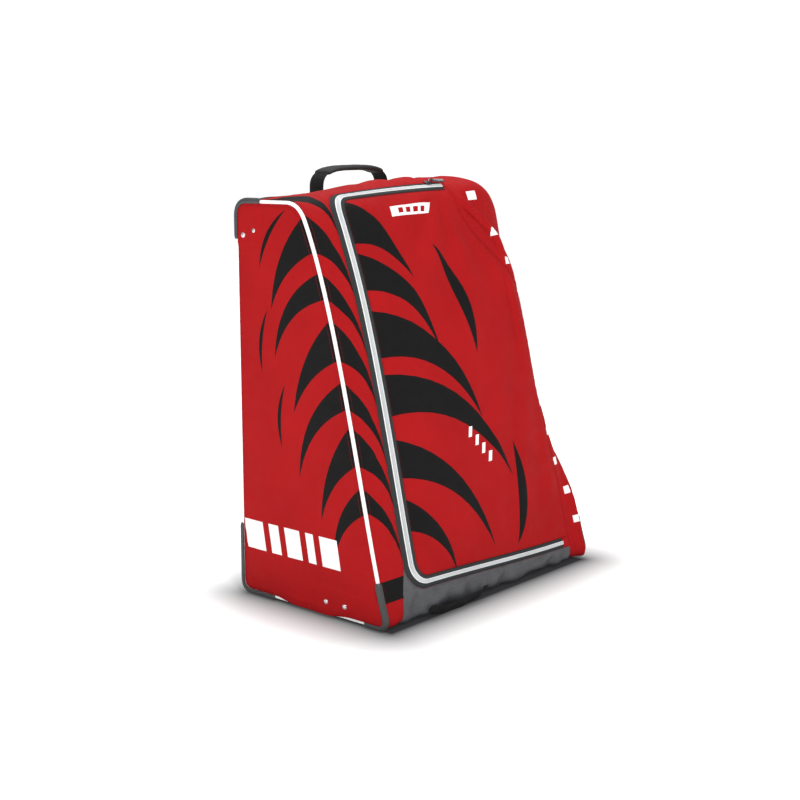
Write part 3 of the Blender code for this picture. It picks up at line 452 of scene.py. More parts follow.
def soft_folds(across, along):
    """Height of the broad soft folds of the front.

    They fan out from the slider's corner, hang down the right of the door and gather above the foot
    of the left strip.  A ridge runs down from the slider, and the low right corner bulges."""
    slider_across, slider_along = 0.400, 0.800
    from_slider = np.hypot(across - slider_across, (along - slider_along) * 0.9)
    bearing = np.arctan2(slider_along - along, across - slider_across + 0.02)
    fan = np.sin(bearing * 9.0 + 1.2 * np.sin(from_slider * 14.0))
    fan = fan * smooth(from_slider, 0.02, 0.10) * (1 - smooth(from_slider, 0.16, 0.42))
    hang = np.sin(across * 62.0 - along * 14.0 + 1.4 * np.sin(along * 8.0))
    hang = hang * smooth(across, 0.30, 0.46) * (0.35 + 0.65 * smooth(along, 0.60, 0.15))
    beyond = across - 0.395 - 0.125 * smooth(along, 0.815, 0.700)
    sharper = 1 + 0.8 * smooth(along, 0.62, 0.72)
    ridge = 0.0040 * sharper * np.exp(-((beyond - 0.010) / 0.011) ** 2)
    ridge = ridge - 0.0030 * sharper * np.exp(-((beyond + 0.005) / 0.006) ** 2)
    ridge = ridge * smooth(along, 0.38, 0.56) * (1 - smooth(along, 0.800, 0.830))
    corner = 0.009 * smooth(across, 0.575, 0.650) * (1 - smooth(along, 0.11, 0.22))
    foot = np.sin((along - 0.4 * across) * 130.0) * (1 - smooth(across, 0.05, 0.09))
    foot = foot * (1 - smooth(along, 0.035, 0.075))
    return 0.0036 * fan + 0.0026 * hang + ridge + corner + 0.0026 * foot


def front_place(across, along, seam_distance, inner=0.0):
    """Cloth of the front and top: the skin with its swelling, folds and gathered seams."""
    free = smooth(seam_distance, 0.0, 0.030)
    lift = pucker(seam_distance, across + along) + soft_folds(across, along) * free
    if SWELL is not None:
        lift = lift + np.where(along < BACK_SEAM, lookup(SWELL, across, along), 0.0) * free ** 0.3
    return raised(across, along, lift - inner)


# ---------------------------------------------------------------- node materials
def srgb(r, g, b):
    """Linear colour from 0..255 screen values."""
    values = [c / 255 for c in (r, g, b)]
    return [c / 12.92 if c <= 0.04045 else ((c + 0.055) / 1.055) ** 2.4 for c in values] + [1.0]


class Shader:
    """A node material with short calls for the few kinds of node used here."""

    def __init__(self, name, coords="UV"):
        self.material = bpy.data.materials.new(name)
        self.material.use_nodes = True
        self.tree = self.material.node_tree
        self.surface = self.tree.nodes["Principled BSDF"]
        self.where = self.tree.nodes.new("ShaderNodeTexCoord").outputs[coords]

    def node(self, kind, inputs, **settings):
        made = self.tree.nodes.new("ShaderNode" + kind)
        for key, value in settings.items():
            setattr(made, key, value)
        for key, value in inputs.items():
            self.put(made.inputs[key], value)
        return made

    def put(self, socket, value):
        if isinstance(value, bpy.types.NodeSocket):
            self.tree.links.new(value, socket)
        else:
            socket.default_value = value

    def noise(self, size, detail=2.0, stretch=(1.0, 1.0, 1.0)):
        """Soft noise, 0..1, with features about `size` metres across."""
        scaled = self.node("Mapping", {"Vector": self.where, "Scale": stretch}).outputs[0]
        return self.node("TexNoise", {"Vector": scaled, "Scale": 1.0 / size, "Detail": detail}).outputs[0]

    def bands(self, direction, pitch, distortion=0.0):
        """Sine bands, 0..1, across the X, Y, Z or diagonal direction."""
        scale = math.tau / 20.0 / pitch
        return self.node("TexWave", {"Vector": self.where, "Scale": scale, "Distortion": distortion},
                         wave_type="BANDS", bands_direction=direction).outputs[1]

    def math(self, operation, a, b=0.0):
        return self.node("Math", {0: a, 1: b}, operation=operation).outputs[0]

    def ramp(self, value, low, high, out_low=0.0, out_high=1.0):
        return self.node("MapRange", {0: value, 1: low, 2: high, 3: out_low, 4: out_high}).outputs[0]

    def mix(self, share, a, b):
        made = self.node("Mix", {}, data_type="RGBA")
        self.put(made.inputs[0], share)
        self.put(made.inputs[6], a)
        self.put(made.inputs[7], b)
        return made.outputs[2]

    def shades(self, value, colour, dark, pale, low=0.3, high=0.7):
        """The colour between a darker and a paler shade of it, as the value climbs."""
        return self.mix(self.ramp(value, low, high), shaded(colour, dark), shaded(colour, pale))

    def bump(self, height, strength, distance, under=None):
        inputs = {"Height": height, "Strength": strength, "Distance": distance}
        if under is not None:
            inputs["Normal"] = under
        return self.node("Bump", inputs).outputs[0]

    def finish(self, **inputs):
        for key, value in inputs.items():
            self.put(self.surface.inputs[key.replace("_", " ")], value)
        return self.material


def shaded(colour, factor):
    return [c * factor for c in colour[:3]] + [1.0]


def woven(name, colour, pitch=0.0011, coords="UV", roughness=0.72, sheen=0.25, relief=0.5, seam_shade=True):
    """Woven cloth: crossed yarns, uneven dye, a little fuzz, and painted shade beside its seams, where the
    cloth sinks.
    """
    shader = Shader(name, coords)
    over, under = shader.bands("X", pitch), shader.bands("Y", pitch)
    weave = shader.math("MULTIPLY", over, under)
    yarn = shader.noise(0.0016, 3.0)
    tint = shader.shades(shader.noise(0.11), colour, 0.93, 1.06)
    tint = shader.mix(shader.ramp(yarn, 0.35, 0.65, 0.0, 0.16), tint, shaded(colour, 0.72))
    tint = shader.mix(shader.math("MULTIPLY", weave, 0.10), tint, shaded(colour, 1.5))
    if seam_shade:
        # painted shade: the cloth is darkened towards each seam, most right at it
        edge = shader.node("Attribute", {}, attribute_name="seam").outputs["Fac"]
        tint = shader.mix(shader.ramp(edge, 0.0, 0.35, 0.30, 0.0), tint, shaded(colour, 0.55))
    rough = shader.ramp(shader.noise(0.035), 0.3, 0.7, roughness - 0.05, roughness + 0.06)
    fine = shader.bump(weave, relief, 0.0004)
    normal = shader.bump(yarn, 0.25, 0.0003, fine)
    return shader.finish(Base_Color=tint, Roughness=rough, Normal=normal, Sheen_Weight=sheen,
                         Sheen_Roughness=0.45, Sheen_Tint=shaded(colour, 1.6), Specular_IOR_Level=0.08)


def ripstop(name, colour):
    """Coated ripstop: fine cloth with a raised grid of thicker yarns and a satin coat; its colour carries
    painted shade in the crumples' hollows and painted sheen on their crests.
    """
    shader = Shader(name)
    cross = shader.math("MULTIPLY", shader.bands("X", 0.0010), shader.bands("Y", 0.0010))
    grid = shader.math("MAXIMUM", shader.bands("X", 0.0062), shader.bands("Y", 0.0062))
    ribs = shader.ramp(grid, 0.90, 1.0)
    crumple = shader.noise(0.030, 4.0, (1.0, 0.6, 1.0))
    # painted shade and sheen: the colour follows the crumple's bump, darker in its hollows and lighter on
    # its crests
    tint = shader.shades(crumple, colour, 0.78, 1.22)
    tint = shader.mix(shader.math("MULTIPLY", ribs, 0.25), tint, shaded(colour, 1.7))
    normal = shader.bump(cross, 0.35, 0.0003)
    normal = shader.bump(ribs, 0.35, 0.0004, normal)
    normal = shader.bump(crumple, 0.55, 0.008, normal)
    rough = shader.ramp(crumple, 0.3, 0.7, 0.42, 0.54)
    return shader.finish(Base_Color=tint, Roughness=rough, Normal=normal, Specular_IOR_Level=0.45)


def moulded(name, colour, roughness=0.45, scuffed=0.35, grain=0.0009):
    """Moulded plastic: fine spark-eroded grain, and pale scuffs where it has rubbed."""
    shader = Shader(name, "Object")
    speckle = shader.noise(grain)
    scuff = shader.ramp(shader.noise(0.028, 5.0, (1.0, 1.0, 0.4)), 0.56, 0.70, 0.0, scuffed)
    tint = shader.shades(speckle, colour, 0.90, 1.10, 0.35, 0.65)
    tint = shader.mix(scuff, tint, shaded(colour, 2.0))
    rough = shader.math("ADD", shader.math("MULTIPLY", scuff, 0.5), roughness)
    normal = shader.bump(speckle, 0.20, 0.0003)
    return shader.finish(Base_Color=tint, Roughness=rough, Normal=normal, Specular_IOR_Level=0.45)


def vinyl(name, colour, roughness=0.34):
    """Smooth vinyl cord cover, faintly uneven, with rubbed dull patches."""
    shader = Shader(name, "Object")
    cloud = shader.noise(0.05, 3.0)
    rub = shader.ramp(shader.noise(0.009, 4.0), 0.55, 0.75, 0.0, 0.35)
    tint = shader.shades(cloud, colour, 0.96, 1.0)
    tint = shader.mix(rub, tint, shaded(colour, 0.86))
    rough = shader.math("ADD", shader.math("MULTIPLY", rub, 0.6), roughness)
    normal = shader.bump(shader.noise(0.004), 0.12, 0.0006)
    return shader.finish(Base_Color=tint, Roughness=rough, Normal=normal, Specular_IOR_Level=0.5)


def metal(name, colour, roughness=0.24):
    """Plated or polished metal with faint handling marks, which are darker and duller."""
    shader = Shader(name, "Object")
    smudge = shader.noise(0.004, 4.0)
    tint = shader.shades(smudge, colour, 1.0, 0.72, 0.4)
    rough = shader.ramp(smudge, 0.3, 0.7, roughness - 0.06, roughness + 0.14)
    normal = shader.bump(shader.noise(0.0009), 0.10, 0.0002)
    return shader.finish(Base_Color=tint, Roughness=rough, Normal=normal, Metallic=1.0)


def webbing(name, colour, coords="UV"):
    """Strap webbing: ribs across the strap with a twill slant and fuzzy edges."""
    shader = Shader(name, coords)
    ribs = shader.bands("X", 0.0019)
    slant = shader.bands("DIAGONAL", 0.0034)
    weave = shader.math("MULTIPLY", ribs, shader.ramp(slant, 0.0, 1.0, 0.55, 1.0))
    yarn = shader.noise(0.0011, 3.0)
    tint = shader.mix(weave, shaded(colour, 0.55), shaded(colour, 1.25))
    tint = shader.mix(shader.ramp(yarn, 0.4, 0.7, 0.0, 0.3), tint, shaded(colour, 1.9))
    normal = shader.bump(weave, 0.7, 0.0006)
    normal = shader.bump(yarn, 0.2, 0.0003, normal)
    return shader.finish(Base_Color=tint, Roughness=0.82, Normal=normal, Sheen_Weight=0.02,
                         Specular_IOR_Level=0.12)


def rubber(name, colour):
    """Wheel rubber: dull, dusty in its pores."""
    shader = Shader(name, "Object")
    pores = shader.noise(0.0012, 3.0)
    dust = shader.ramp(shader.noise(0.012, 4.0), 0.50, 0.72, 0.0, 0.45)
    tint = shader.mix(dust, colour, srgb(96, 92, 86))
    return shader.finish(Base_Color=tint, Roughness=shader.ramp(dust, 0.0, 0.45, 0.62, 0.88),
                         Normal=shader.bump(pores, 0.3, 0.0003), Specular_IOR_Level=0.35)


def netting(name, colour):
    """Pocket mesh: dark holes between knitted threads."""
    shader = Shader(name)
    holes = shader.node("TexVoronoi", {"Vector": shader.where, "Scale": 1.0 / 0.0032},
                        voronoi_dimensions="2D", feature="DISTANCE_TO_EDGE").outputs[0]
    thread = shader.ramp(holes, 0.10, 0.22, 1.0, 0.0)
    tint = shader.mix(thread, shaded(colour, 0.15), shaded(colour, 1.4))
    return shader.finish(Base_Color=tint, Roughness=0.85, Normal=shader.bump(thread, 0.8, 0.0006),
                         Specular_IOR_Level=0.2)


RED_CLOTH = woven("red_cloth", srgb(160, 19, 22), sheen=0.03)
PRINT_CLOTH = woven("print_black", srgb(21, 20, 20), roughness=0.66, sheen=0.0)
WHITE_CLOTH = woven("print_white", srgb(240, 240, 240), roughness=0.55, sheen=0.0)
LINING = woven("lining_cloth", srgb(46, 46, 49), pitch=0.0013, sheen=0.15, seam_shade=False)
BACK_CLOTH = woven("back_cloth_black", srgb(44, 44, 46), pitch=0.0016, relief=0.8)
CHARCOAL = ripstop("charcoal_ripstop", srgb(72, 73, 75))
TAPE = woven("zip_tape_charcoal", srgb(50, 53, 54), pitch=0.0009, seam_shade=False)
WHITE_VINYL = vinyl("white_vinyl", srgb(242, 242, 241))
ZIP_WHITE = vinyl("zip_edge_white", srgb(244, 244, 244), 0.40)
TOOTH = vinyl("zip_tooth_silver", srgb(205, 207, 209), 0.30)
GUARD_GREY = moulded("guard_grey", srgb(54, 55, 56))
PLASTIC_BLACK = moulded("plastic_black", srgb(38, 38, 40), 0.5)
BOARD_BLACK = moulded("board_black", srgb(46, 46, 48), 0.6, 0.2)
NICKEL = metal("nickel", srgb(96, 96, 99))
STEEL = metal("rivet_polish", srgb(214, 214, 218), 0.18)
WEBBING = webbing("webbing_black", srgb(25, 25, 26))
WEBBING_PLAIN = webbing("webbing_black_plain", srgb(25, 25, 26), "Object")
WRAP_CLOTH = woven("wrap_cloth_grey", srgb(56, 56, 57), pitch=0.0015, relief=0.8, seam_shade=False)
THREAD_RED = webbing("thread_red", srgb(150, 24, 28), "Object")
RUBBER = rubber("wheel_rubber", srgb(42, 42, 43))
NETTING = netting("pocket_netting", srgb(60, 60, 63))


# ---------------------------------------------------------------- pieces
SOFT_EDGE_DEG = 50.0
# Reach of the painted shade beside each seam.
SEAM_SHADE_REACH = 0.010


def piece(name, points, faces, materials, slot, body="shell", picks=None, uv=None, node=None):
    """Mesh object from arrays: faces are index lists, picks a material number for each face.

    It stands for the CAD node whose name is given."""
    mesh = bpy.data.meshes.new(name)
    mesh.from_pydata(np.asarray(points).reshape(-1, 3).tolist(), [], [list(map(int, f)) for f in faces])
    for material in materials:
        mesh.materials.append(material)
    if picks is not None:
        mesh.polygons.foreach_set("material_index", np.asarray(picks, np.int32))
    if uv is not None:
        corners = np.empty(len(mesh.loops), np.int32)
        mesh.loops.foreach_get("vertex_index", corners)
        layer = mesh.uv_layers.new(name="weave")
        layer.data.foreach_set("uv", np.asarray(uv, float).reshape(-1, 2)[corners].ravel())
    mesh.shade_smooth()
    mesh.set_sharp_from_angle(angle=math.radians(SOFT_EDGE_DEG))
    obj = bpy.data.objects.new(name, mesh)
    bpy.context.collection.objects.link(obj)
    if body is not None:
        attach(obj, body)
    if node is not None:
        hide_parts(node)
    return obj


def seam_attribute(obj, values):
    """How far each point is from the nearest seam, 0 at the seam, for the painted shade beside the seams.
    """
    layer = obj.data.attributes.new("seam", "FLOAT", "POINT")
    layer.data.foreach_set("value", np.asarray(values, np.float32))


def inside(polygon, points):
    """Which 2-D points lie inside a closed polygon, by counting crossings."""
    x, y = points[:, 0], points[:, 1]
    hits = np.zeros(len(points), bool)
    for (ax, ay), (bx, by) in zip(polygon, np.roll(polygon, -1, axis=0)):
        if ay != by:
            crosses = (ay > y) != (by > y)
            hits ^= crosses & (x < ax + (bx - ax) * (y - ay) / (by - ay))
    return hits


def closed(line, pitch):
    """Even points round a closed polygon, keeping its corners."""
    line = np.asarray(line, float)
    sides = [resample(np.stack(pair), pitch)[:-1] for pair in zip(line, np.roll(line, -1, axis=0))
             if np.linalg.norm(pair[1] - pair[0]) > 1e-7]
    return np.vstack(sides)


def triangulate(outline, regions, pitch):
    """Triangles of a flat sheet whose edges follow its outline and its printed regions."""
    loops = [closed(outline, pitch)] + [closed(region, pitch) for region, _ in regions]
    edges, start = [], 0
    for loop in loops:
        edges += [(start + i, start + (i + 1) % len(loop)) for i in range(len(loop))]
        start += len(loop)
    border = np.vstack(loops)
    low, high = loops[0].min(axis=0), loops[0].max(axis=0)
    rows = np.arange(low[1] + pitch / 2, high[1], pitch * 0.87)
    lattice = np.array([(x + (pitch / 2 if i % 2 else 0.0), y) for i, y in enumerate(rows)
                        for x in np.arange(low[0] + pitch / 3, high[0], pitch)])
    lattice = lattice[inside(loops[0], lattice)]
    lattice = lattice[nearest(lattice, border) > 0.55 * pitch]
    cloud = [Vector(point) for point in np.vstack((border, lattice))]
    places, _, faces, _, _, _ = geometry.delaunay_2d_cdt(cloud, edges, [], 1, 1e-7)
    places = np.array([tuple(p) for p in places])
    faces = np.array([tuple(f) for f in faces])
    middles = places[faces].mean(axis=1)
    faces, middles = faces[inside(loops[0], middles)], middles[inside(loops[0], middles)]
    picks = np.zeros(len(faces), int)
    for region, number in regions:
        picks[inside(np.asarray(region, float), middles)] = number
    return places, faces, picks, nearest(places, loops[0])


def sheet(name, outline, regions, laid, materials, slot, body="shell", pitch=0.006, flip=False, node=None):
    """Fabric panel with printed regions: an outer face, a lining and turned edges.

    laid(u, v, seam_distance, inner) gives the world points of the flat places (u, v)."""
    places, faces, picks, reach = triangulate(outline, regions, pitch)
    u, v = places[:, 0], places[:, 1]
    outer, inner = laid(u, v, reach, 0.0), laid(u, v, reach, SHEET)
    if flip:
        faces = faces[:, ::-1]
    count = len(places)
    sides = np.vstack((faces[:, [0, 1]], faces[:, [1, 2]], faces[:, [2, 0]]))
    known = {(a, b) for a, b in sides.tolist()}
    rim_sides = [(a, b) for a, b in sides.tolist() if (b, a) not in known]
    walls = [(b, a, a + count, b + count) for a, b in rim_sides]
    every = faces.tolist() + (faces[:, ::-1] + count).tolist() + walls
    lining = len(materials)
    picks = np.concatenate((picks, np.full(len(faces), lining), np.zeros(len(walls), int)))
    obj = piece(name, np.vstack((outer, inner)), every, list(materials) + [LINING], slot, body, picks,
                np.vstack((places, places)), node)
    # the painted shade beside the seams fades out over this reach
    seam = np.clip(reach / SEAM_SHADE_REACH, 0.0, 1.0)
    seam_attribute(obj, np.concatenate((seam, seam)))
    return obj


def grid_faces(rows, columns, closed_rows=False, closed_columns=False):
    """Quads of a grid of points stored row after row."""
    faces = []
    for r in range(rows if closed_rows else rows - 1):
        for c in range(columns if closed_columns else columns - 1):
            r1, c1 = (r + 1) % rows, (c + 1) % columns
            faces.append((r * columns + c, r * columns + c1, r1 * columns + c1, r1 * columns + c))
    return faces


def turned_over(faces, over=True):
    return [face[::-1] for face in faces] if over else faces


def tube_faces(rows, columns):
    """Quads round a row of closed cross-sections, with a flat cap at each end."""
    caps = [tuple(range(columns))[::-1], tuple(range((rows - 1) * columns, rows * columns))]
    return grid_faces(rows, columns, False, True) + caps


def loft(name, sections, material, slot, body="shell", closed_path=False, flip=False, node=None):
    """Solid through a row of closed cross-sections, with flat caps unless the path is closed."""
    sections = np.asarray(sections)
    rows, columns = sections.shape[:2]
    faces = grid_faces(rows, columns, True, True) if closed_path else tube_faces(rows, columns)
    run = run_length(sections.mean(axis=1))
    round_it = np.linspace(0.0, run_length(sections[0])[-1], columns)
    uv = flat_points(*np.meshgrid(run, round_it, indexing="ij"))
    return piece(name, sections, turned_over(faces, flip), [material], slot, body, None, uv, node)


def joined(name, parts, material, slot, body="shell", node=None):
    """One piece out of several (points, faces) parts."""
    points, faces, start = [], [], 0
    for part_points, part_faces in parts:
        part_points = np.asarray(part_points).reshape(-1, 3)
        points.append(part_points)
        faces += [[start + i for i in face] for face in part_faces]
        start += len(part_points)
    return piece(name, np.vstack(points), faces, [material], slot, body, node=node)


# ---------------------------------------------------------------- print
def bar(corner, width, height, slant):
    """Parallelogram from its lower left corner."""
    x, y = corner
    return np.array(((x, y), (x + width, y), (x + width + slant, y + height), (x + slant, y + height)))


# Claws on the door: upper end, tip and lower end as (across, along), then the bow of the edges.
DOOR_CLAWS = (
    ((0.094, 0.800), (0.226, 0.640), (0.094, 0.716), 0.030),
    ((0.094, 0.700), (0.262, 0.500), (0.094, 0.628), 0.044),
    ((0.094, 0.590), (0.350, 0.352), (0.094, 0.500), 0.058),
    ((0.094, 0.470), (0.420, 0.226), (0.094, 0.392), 0.066),
    ((0.094, 0.350), (0.330, 0.098), (0.094, 0.276), 0.050),
    ((0.094, 0.236), (0.212, 0.064), (0.094, 0.170), 0.026),
)
# Crescents: the two tips, then the bows of the outer and inner edges.
DOOR_CRESCENTS = (
    ((0.304, 0.705), (0.366, 0.480), 0.036, 0.006),
    ((0.436, 0.296), (0.404, 0.090), 0.032, 0.006),
)
SIDE_CRESCENTS = (
    ((0.136, 0.744), (0.066, 0.634), -0.018, -0.008),
    ((0.086, 0.560), (0.070, 0.438), -0.016, -0.007),
    ((0.130, 0.424), (0.120, 0.300), -0.016, -0.007),
)
# Fangs on the side: top and bottom height at the piping, the tip's depth and height, then the bow.
SIDE_FANGS = (
    (0.736, 0.668, 0.096, 0.560, 0.020),
    (0.632, 0.586, 0.104, 0.470, 0.030),
    (0.548, 0.478, 0.152, 0.372, 0.018),
    (0.440, 0.392, 0.164, 0.250, 0.030),
    (0.360, 0.292, 0.220, 0.178, 0.018),
    (0.252, 0.206, 0.254, 0.098, 0.022),
)
STRIP_BAND = (along_at_height(0.038), along_at_height(0.074))
PIPING_TO_PRINT = 0.007
DASH_START = 0.100
DASH_PITCH = 0.0612
DASH_LEFT_OUT = 5
DASH_COUNT = 12
DASH_SIZE = (0.026, 0.015)


def thorn(*corners):
    """Closed shape through (x, y, bow) tips; bow is how far the edge leaving a tip bends leftward."""
    edges = []
    for (ax, ay, bow), (bx, by, _) in zip(corners, corners[1:] + corners[:1]):
        length = math.hypot(bx - ax, by - ay)
        pull = (ax + bx) / 2 - (by - ay) / length * 2 * bow, (ay + by) / 2 + (bx - ax) / length * 2 * bow
        edges.append(bezier(((ax, ay), pull, (bx, by)), np.linspace(0.0, 1.0, 12))[:-1])
    return np.vstack(edges)


def fang(top, bottom, tip_depth, tip_height, bow):
    """Curved fang that grows backward out of the front piping between two heights."""
    upper, lower = (float(front_depth(height)) - PIPING_TO_PRINT for height in (top, bottom))
    return thorn((upper, top, -bow), (tip_depth, tip_height, 0.8 * bow), (lower, bottom, 0.0))


def crescent(start, end, outer_bow, inner_bow):
    """Free-standing crescent between two tips; both edges bend to the same side."""
    return thorn((*start, outer_bow), (*end, -inner_bow))


def claw(upper, tip, lower, bow):
    """Curved claw that sweeps down to the right from between two places on an edge."""
    return thorn((*upper, bow), (*tip, -0.8 * bow), (*lower, 0.0))


def door_print():
    """Claws that grow out of the zip's edge, with two crescents beyond them."""
    shapes = [claw(*shape) for shape in DOOR_CLAWS] + [crescent(*shape) for shape in DOOR_CRESCENTS]
    return [(shape, 1) for shape in shapes]


def strip_claws():
    """Claws that carry the side's pattern round the piping on to the left strip, and two above them."""
    spans = [(along_at_height(top), along_at_height(bottom)) for top, bottom, *_ in SIDE_FANGS]
    highest = spans[0][0]
    spans = [(highest + rise, highest + rise - 0.075) for rise in (0.215, 0.115)] + spans
    return [(claw((-0.004, top), (0.066, top - 0.165), (-0.004, bottom), 0.020), 1)
            for top, bottom in spans]


def side_bars():
    """Plain slanted white bars low on the side, where a word would be."""
    shapes, depth = [], 0.020
    for width in (0.052, 0.026, 0.040, 0.020, 0.046):
        shapes.append((bar((depth, 0.092), width, 0.056, -0.010), 2))
        depth += width + 0.016
    return shapes


def door_bars():
    """Four short white bars stepping down beside a claw."""
    return [(bar((0.296 + 0.0165 * i, 0.322 - 0.0185 * i), 0.010, 0.020, 0.006), 2) for i in range(4)]


def dash_across(along):
    """The row of dashes keeps close to the rolled edge, and right of the crease at the top."""
    low_end = 0.060 * (1 - smooth(along, 0.10, 0.36))
    along_edge = 0.534 + 1.2 * low_end - 0.075 * smooth(along, 0.66, 0.80)
    return np.maximum(along_edge, crease_across(along) + 0.005)


def strip_dashes():
    """Row of white dashes down the right-hand strip, with a gap below the middle."""
    places = [DASH_START + DASH_PITCH * i for i in range(DASH_COUNT) if i != DASH_LEFT_OUT]
    return [(bar((dash_across(along), along), *DASH_SIZE, 0.0), 1) for along in places]


# ---------------------------------------------------------------- fabric panels
UNDER_PIPING = 0.002
KICK_CORNER = 0.033
BACK_NOTCH = 0.070
BASE_NOTCH = 0.066
BOARD_CLOTH_PITCH = 0.009
PLATE_EDGE = 0.004
TOP_PLATE = (0.064, HEIGHT - 0.085)
LOW_PLATE = (BASE_DEPTH - 0.185, 0.052)
SIDE_STEPS = 260
SAG = 0.0065
SAG_LIFT = 0.0022
PLATE_LIFT = 0.0016


def crease_line(start, end):
    """Points on the crease between two places along the skin."""
    rows = np.linspace(start, end, 90)
    return flat_points(crease_across(rows), rows)


def box_outline(left, low, right, high):
    return np.array(((left, low), (right, low), (right, high), (left, high)))


def left_strip():
    """Cloth between the left piping and the zip, with claws and a black band at its foot."""
    edge = ZIP_LEFT - TAPE_EDGE
    outline = ((-UNDER_PIPING, KICK_START), (KICK_CORNER, KICK_START), (edge, ZIP_FOOT + ZIP_CORNER),
               (edge, BACK_SEAM), (-UNDER_PIPING, BACK_SEAM))
    band = box_outline(-0.01, STRIP_BAND[0], 0.08, STRIP_BAND[1])
    sheet("strip_cloth_left", outline, strip_claws() + [(band, 1)], front_place,
          (RED_CLOTH, PRINT_CLOTH), "red_fabric", node="front_strip_left")


def right_strip():
    """Cloth right of the crease, rolling over the soft right edge."""
    outline = np.vstack((crease_line(BACK_SEAM, KICK_START), [(ACROSS, KICK_START), (ACROSS, BACK_SEAM)]))
    sheet("strip_cloth_right", outline, strip_dashes(), front_place, (RED_CLOTH, WHITE_CLOTH),
          "red_fabric", node="front_strip_right")


def kick():
    """Charcoal cloth under the door."""
    foot = zip_foot_part(-TAPE_EDGE)
    corners = [(KICK_CORNER, KICK_START), (CREASE, KICK_START), (CREASE, foot[-1][1])]
    sheet("kick_cloth", np.vstack((corners, foot[::-1])), [], kick_place, (CHARCOAL,),
          "charcoal_fabric", node="kick_panel")


def kick_place(across, along, seam_distance, inner=0.0):
    """The kick panel is loose: it crumples between its seams."""
    free = smooth(seam_distance, 0.0, 0.014)
    lift = 0.0022 * np.sin(across * 95.0 + 2.2 * np.sin(along * 60.0) + 1.5 * np.sin(across * 23.0))
    lift += 0.0020 * np.sin(across * 41.0 - along * 120.0)
    return raised(across, along, lift * free + pucker(seam_distance, across) - inner)


def top():
    """Cloth behind the zip's top run."""
    edge = zip_top_part(-TAPE_EDGE)
    corners = [(TOP_CREASE, edge[0][1]), (TOP_CREASE, BACK_SEAM), (ZIP_LEFT - TAPE_EDGE, BACK_SEAM)]
    sheet("top_cloth", np.vstack((edge[::-1], corners)), [], front_place, (RED_CLOTH,),
          "red_fabric", node="top_panel")


def door():
    """Door cloth and the cloth right of its fold, cut in one up to the crease."""
    level = TAPE_EDGE * float(zip_width(0.0))
    crease = crease_line(ZIP_FOOT - level, ZIP_TOP + level)
    fold_top = float(fold_across(ZIP_TOP))
    notch = CREASE - 0.013
    outline = np.vstack((crease, [(fold_top, ZIP_TOP + level), (fold_top, ZIP_TOP - level)],
                         zip_line(TAPE_EDGE)[1:-1],
                         [(notch, ZIP_FOOT + level), (notch, ZIP_FOOT - level)]))
    obj = sheet("door_cloth", outline, door_print() + door_bars(), front_place,
                (RED_CLOTH, PRINT_CLOTH, WHITE_CLOTH), "red_fabric", body=None)
    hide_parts("door_panel", "front_gusset")
    fold_with_door(obj)


def joint(name):
    """Direction of a joint's axis, and the axis's place if it is a hinge."""
    found = next(row for row in frame["joints"] if row["name"] == name)
    return unit(np.array(found["axis"])), np.array(found.get("pos_m", (0.0, 0.0, 0.0)))


def fold_with_door(obj):
    """Bake a piece's place into its points; the direction into the door across its fold is worked out, but
    the piece is not bent.
    """
    axis, hinge = joint("door_hinge")
    into_door = unit(np.cross(axis, (0.0, -1.0, 0.3)))
    into_door = into_door * -np.sign(into_door[0])
    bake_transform(obj)


def back_outline(low, high, notch_side):
    """Outline over the full width with a notch for each wheel housing at one end."""
    far, reach = (low, BASE_NOTCH) if notch_side < 0 else (high, -BACK_NOTCH)
    corners = [(-UNDER_PIPING, low), (ACROSS, low), (ACROSS, high), (-UNDER_PIPING, high)]
    notches = []
    for _, side_name in SIDES:
        housing_low, housing_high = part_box("wheel_housing_" + side_name)
        a, b = across_at(housing_low.x - GAP), across_at(housing_high.x + GAP)
        notches.append(((a, far), (a, far + reach), (b, far + reach), (b, far)))
    if notch_side < 0:
        return corners[:1] + [p for notch in notches for p in notch] + corners[1:]
    return corners[:3] + [p for notch in reversed(notches) for p in reversed(notch)] + corners[3:]


def plain_place(across, along, seam_distance, inner=0.0):
    """Cloth held flat over a board, with a slight pillow between its seams."""
    lift = 0.0012 * smooth(seam_distance, 0.0, 0.060) + pucker(seam_distance, across + along)
    lift += 0.0005 * np.sin(across * 19.0 + 2.0 * np.sin(along * 13.0)) * smooth(seam_distance, 0.0, 0.05)
    return raised(across, along, lift - inner)


def back_and_base():
    for name, low, high, notch_side in (("back", BACK_SEAM, STATION["heel"], 1),
                                        ("base", STATION["heel"], LOOP + KICK_START, -1)):
        sheet(name + "_cloth", back_outline(low, high, notch_side), [], plain_place, (BACK_CLOTH,),
              "black_fabric", pitch=BOARD_CLOTH_PITCH, node=name + "_panel")


def side_cloth(side, side_name):
    """Side panel: cloth over a board, printed near its front edge, with the plates showing through."""
    along = np.linspace(0.0, LOOP, SIDE_STEPS)[:-1]
    inset = EDGE_INSET - UNDER_PIPING - SAG * low_sag(*rim(along))
    outline = flat_points(*inside_rim(along, inset))

    def laid(depth, height, seam_distance, inner):
        lift = 0.0011 * smooth(seam_distance, 0.0, 0.050) + pucker(seam_distance, depth + height)
        lift += 0.0006 * np.sin(depth * 21.0 + 1.7 * np.sin(height * 9.0)) * smooth(seam_distance, 0, 0.06)
        lift += side_relief(depth, height)
        return side_point(side, depth, height, inner - lift)

    print_shapes = [(crescent(*shape), 1) for shape in SIDE_CRESCENTS]
    print_shapes += [(fang(*shape), 1) for shape in SIDE_FANGS]
    sheet("side_cloth_" + side_name, outline, print_shapes + side_bars(), laid,
          (RED_CLOTH, PRINT_CLOTH, WHITE_CLOTH), "red_fabric", flip=side < 0,
          node="side_panel_" + side_name)


def low_sag(depth, height):
    """How much the cloth hangs over the piping, between the low guards."""
    middle = smooth(depth, 0.09, 0.15) * (1 - smooth(depth, 0.23, 0.29))
    return middle * (1 - smooth(height, 0.012, 0.030))


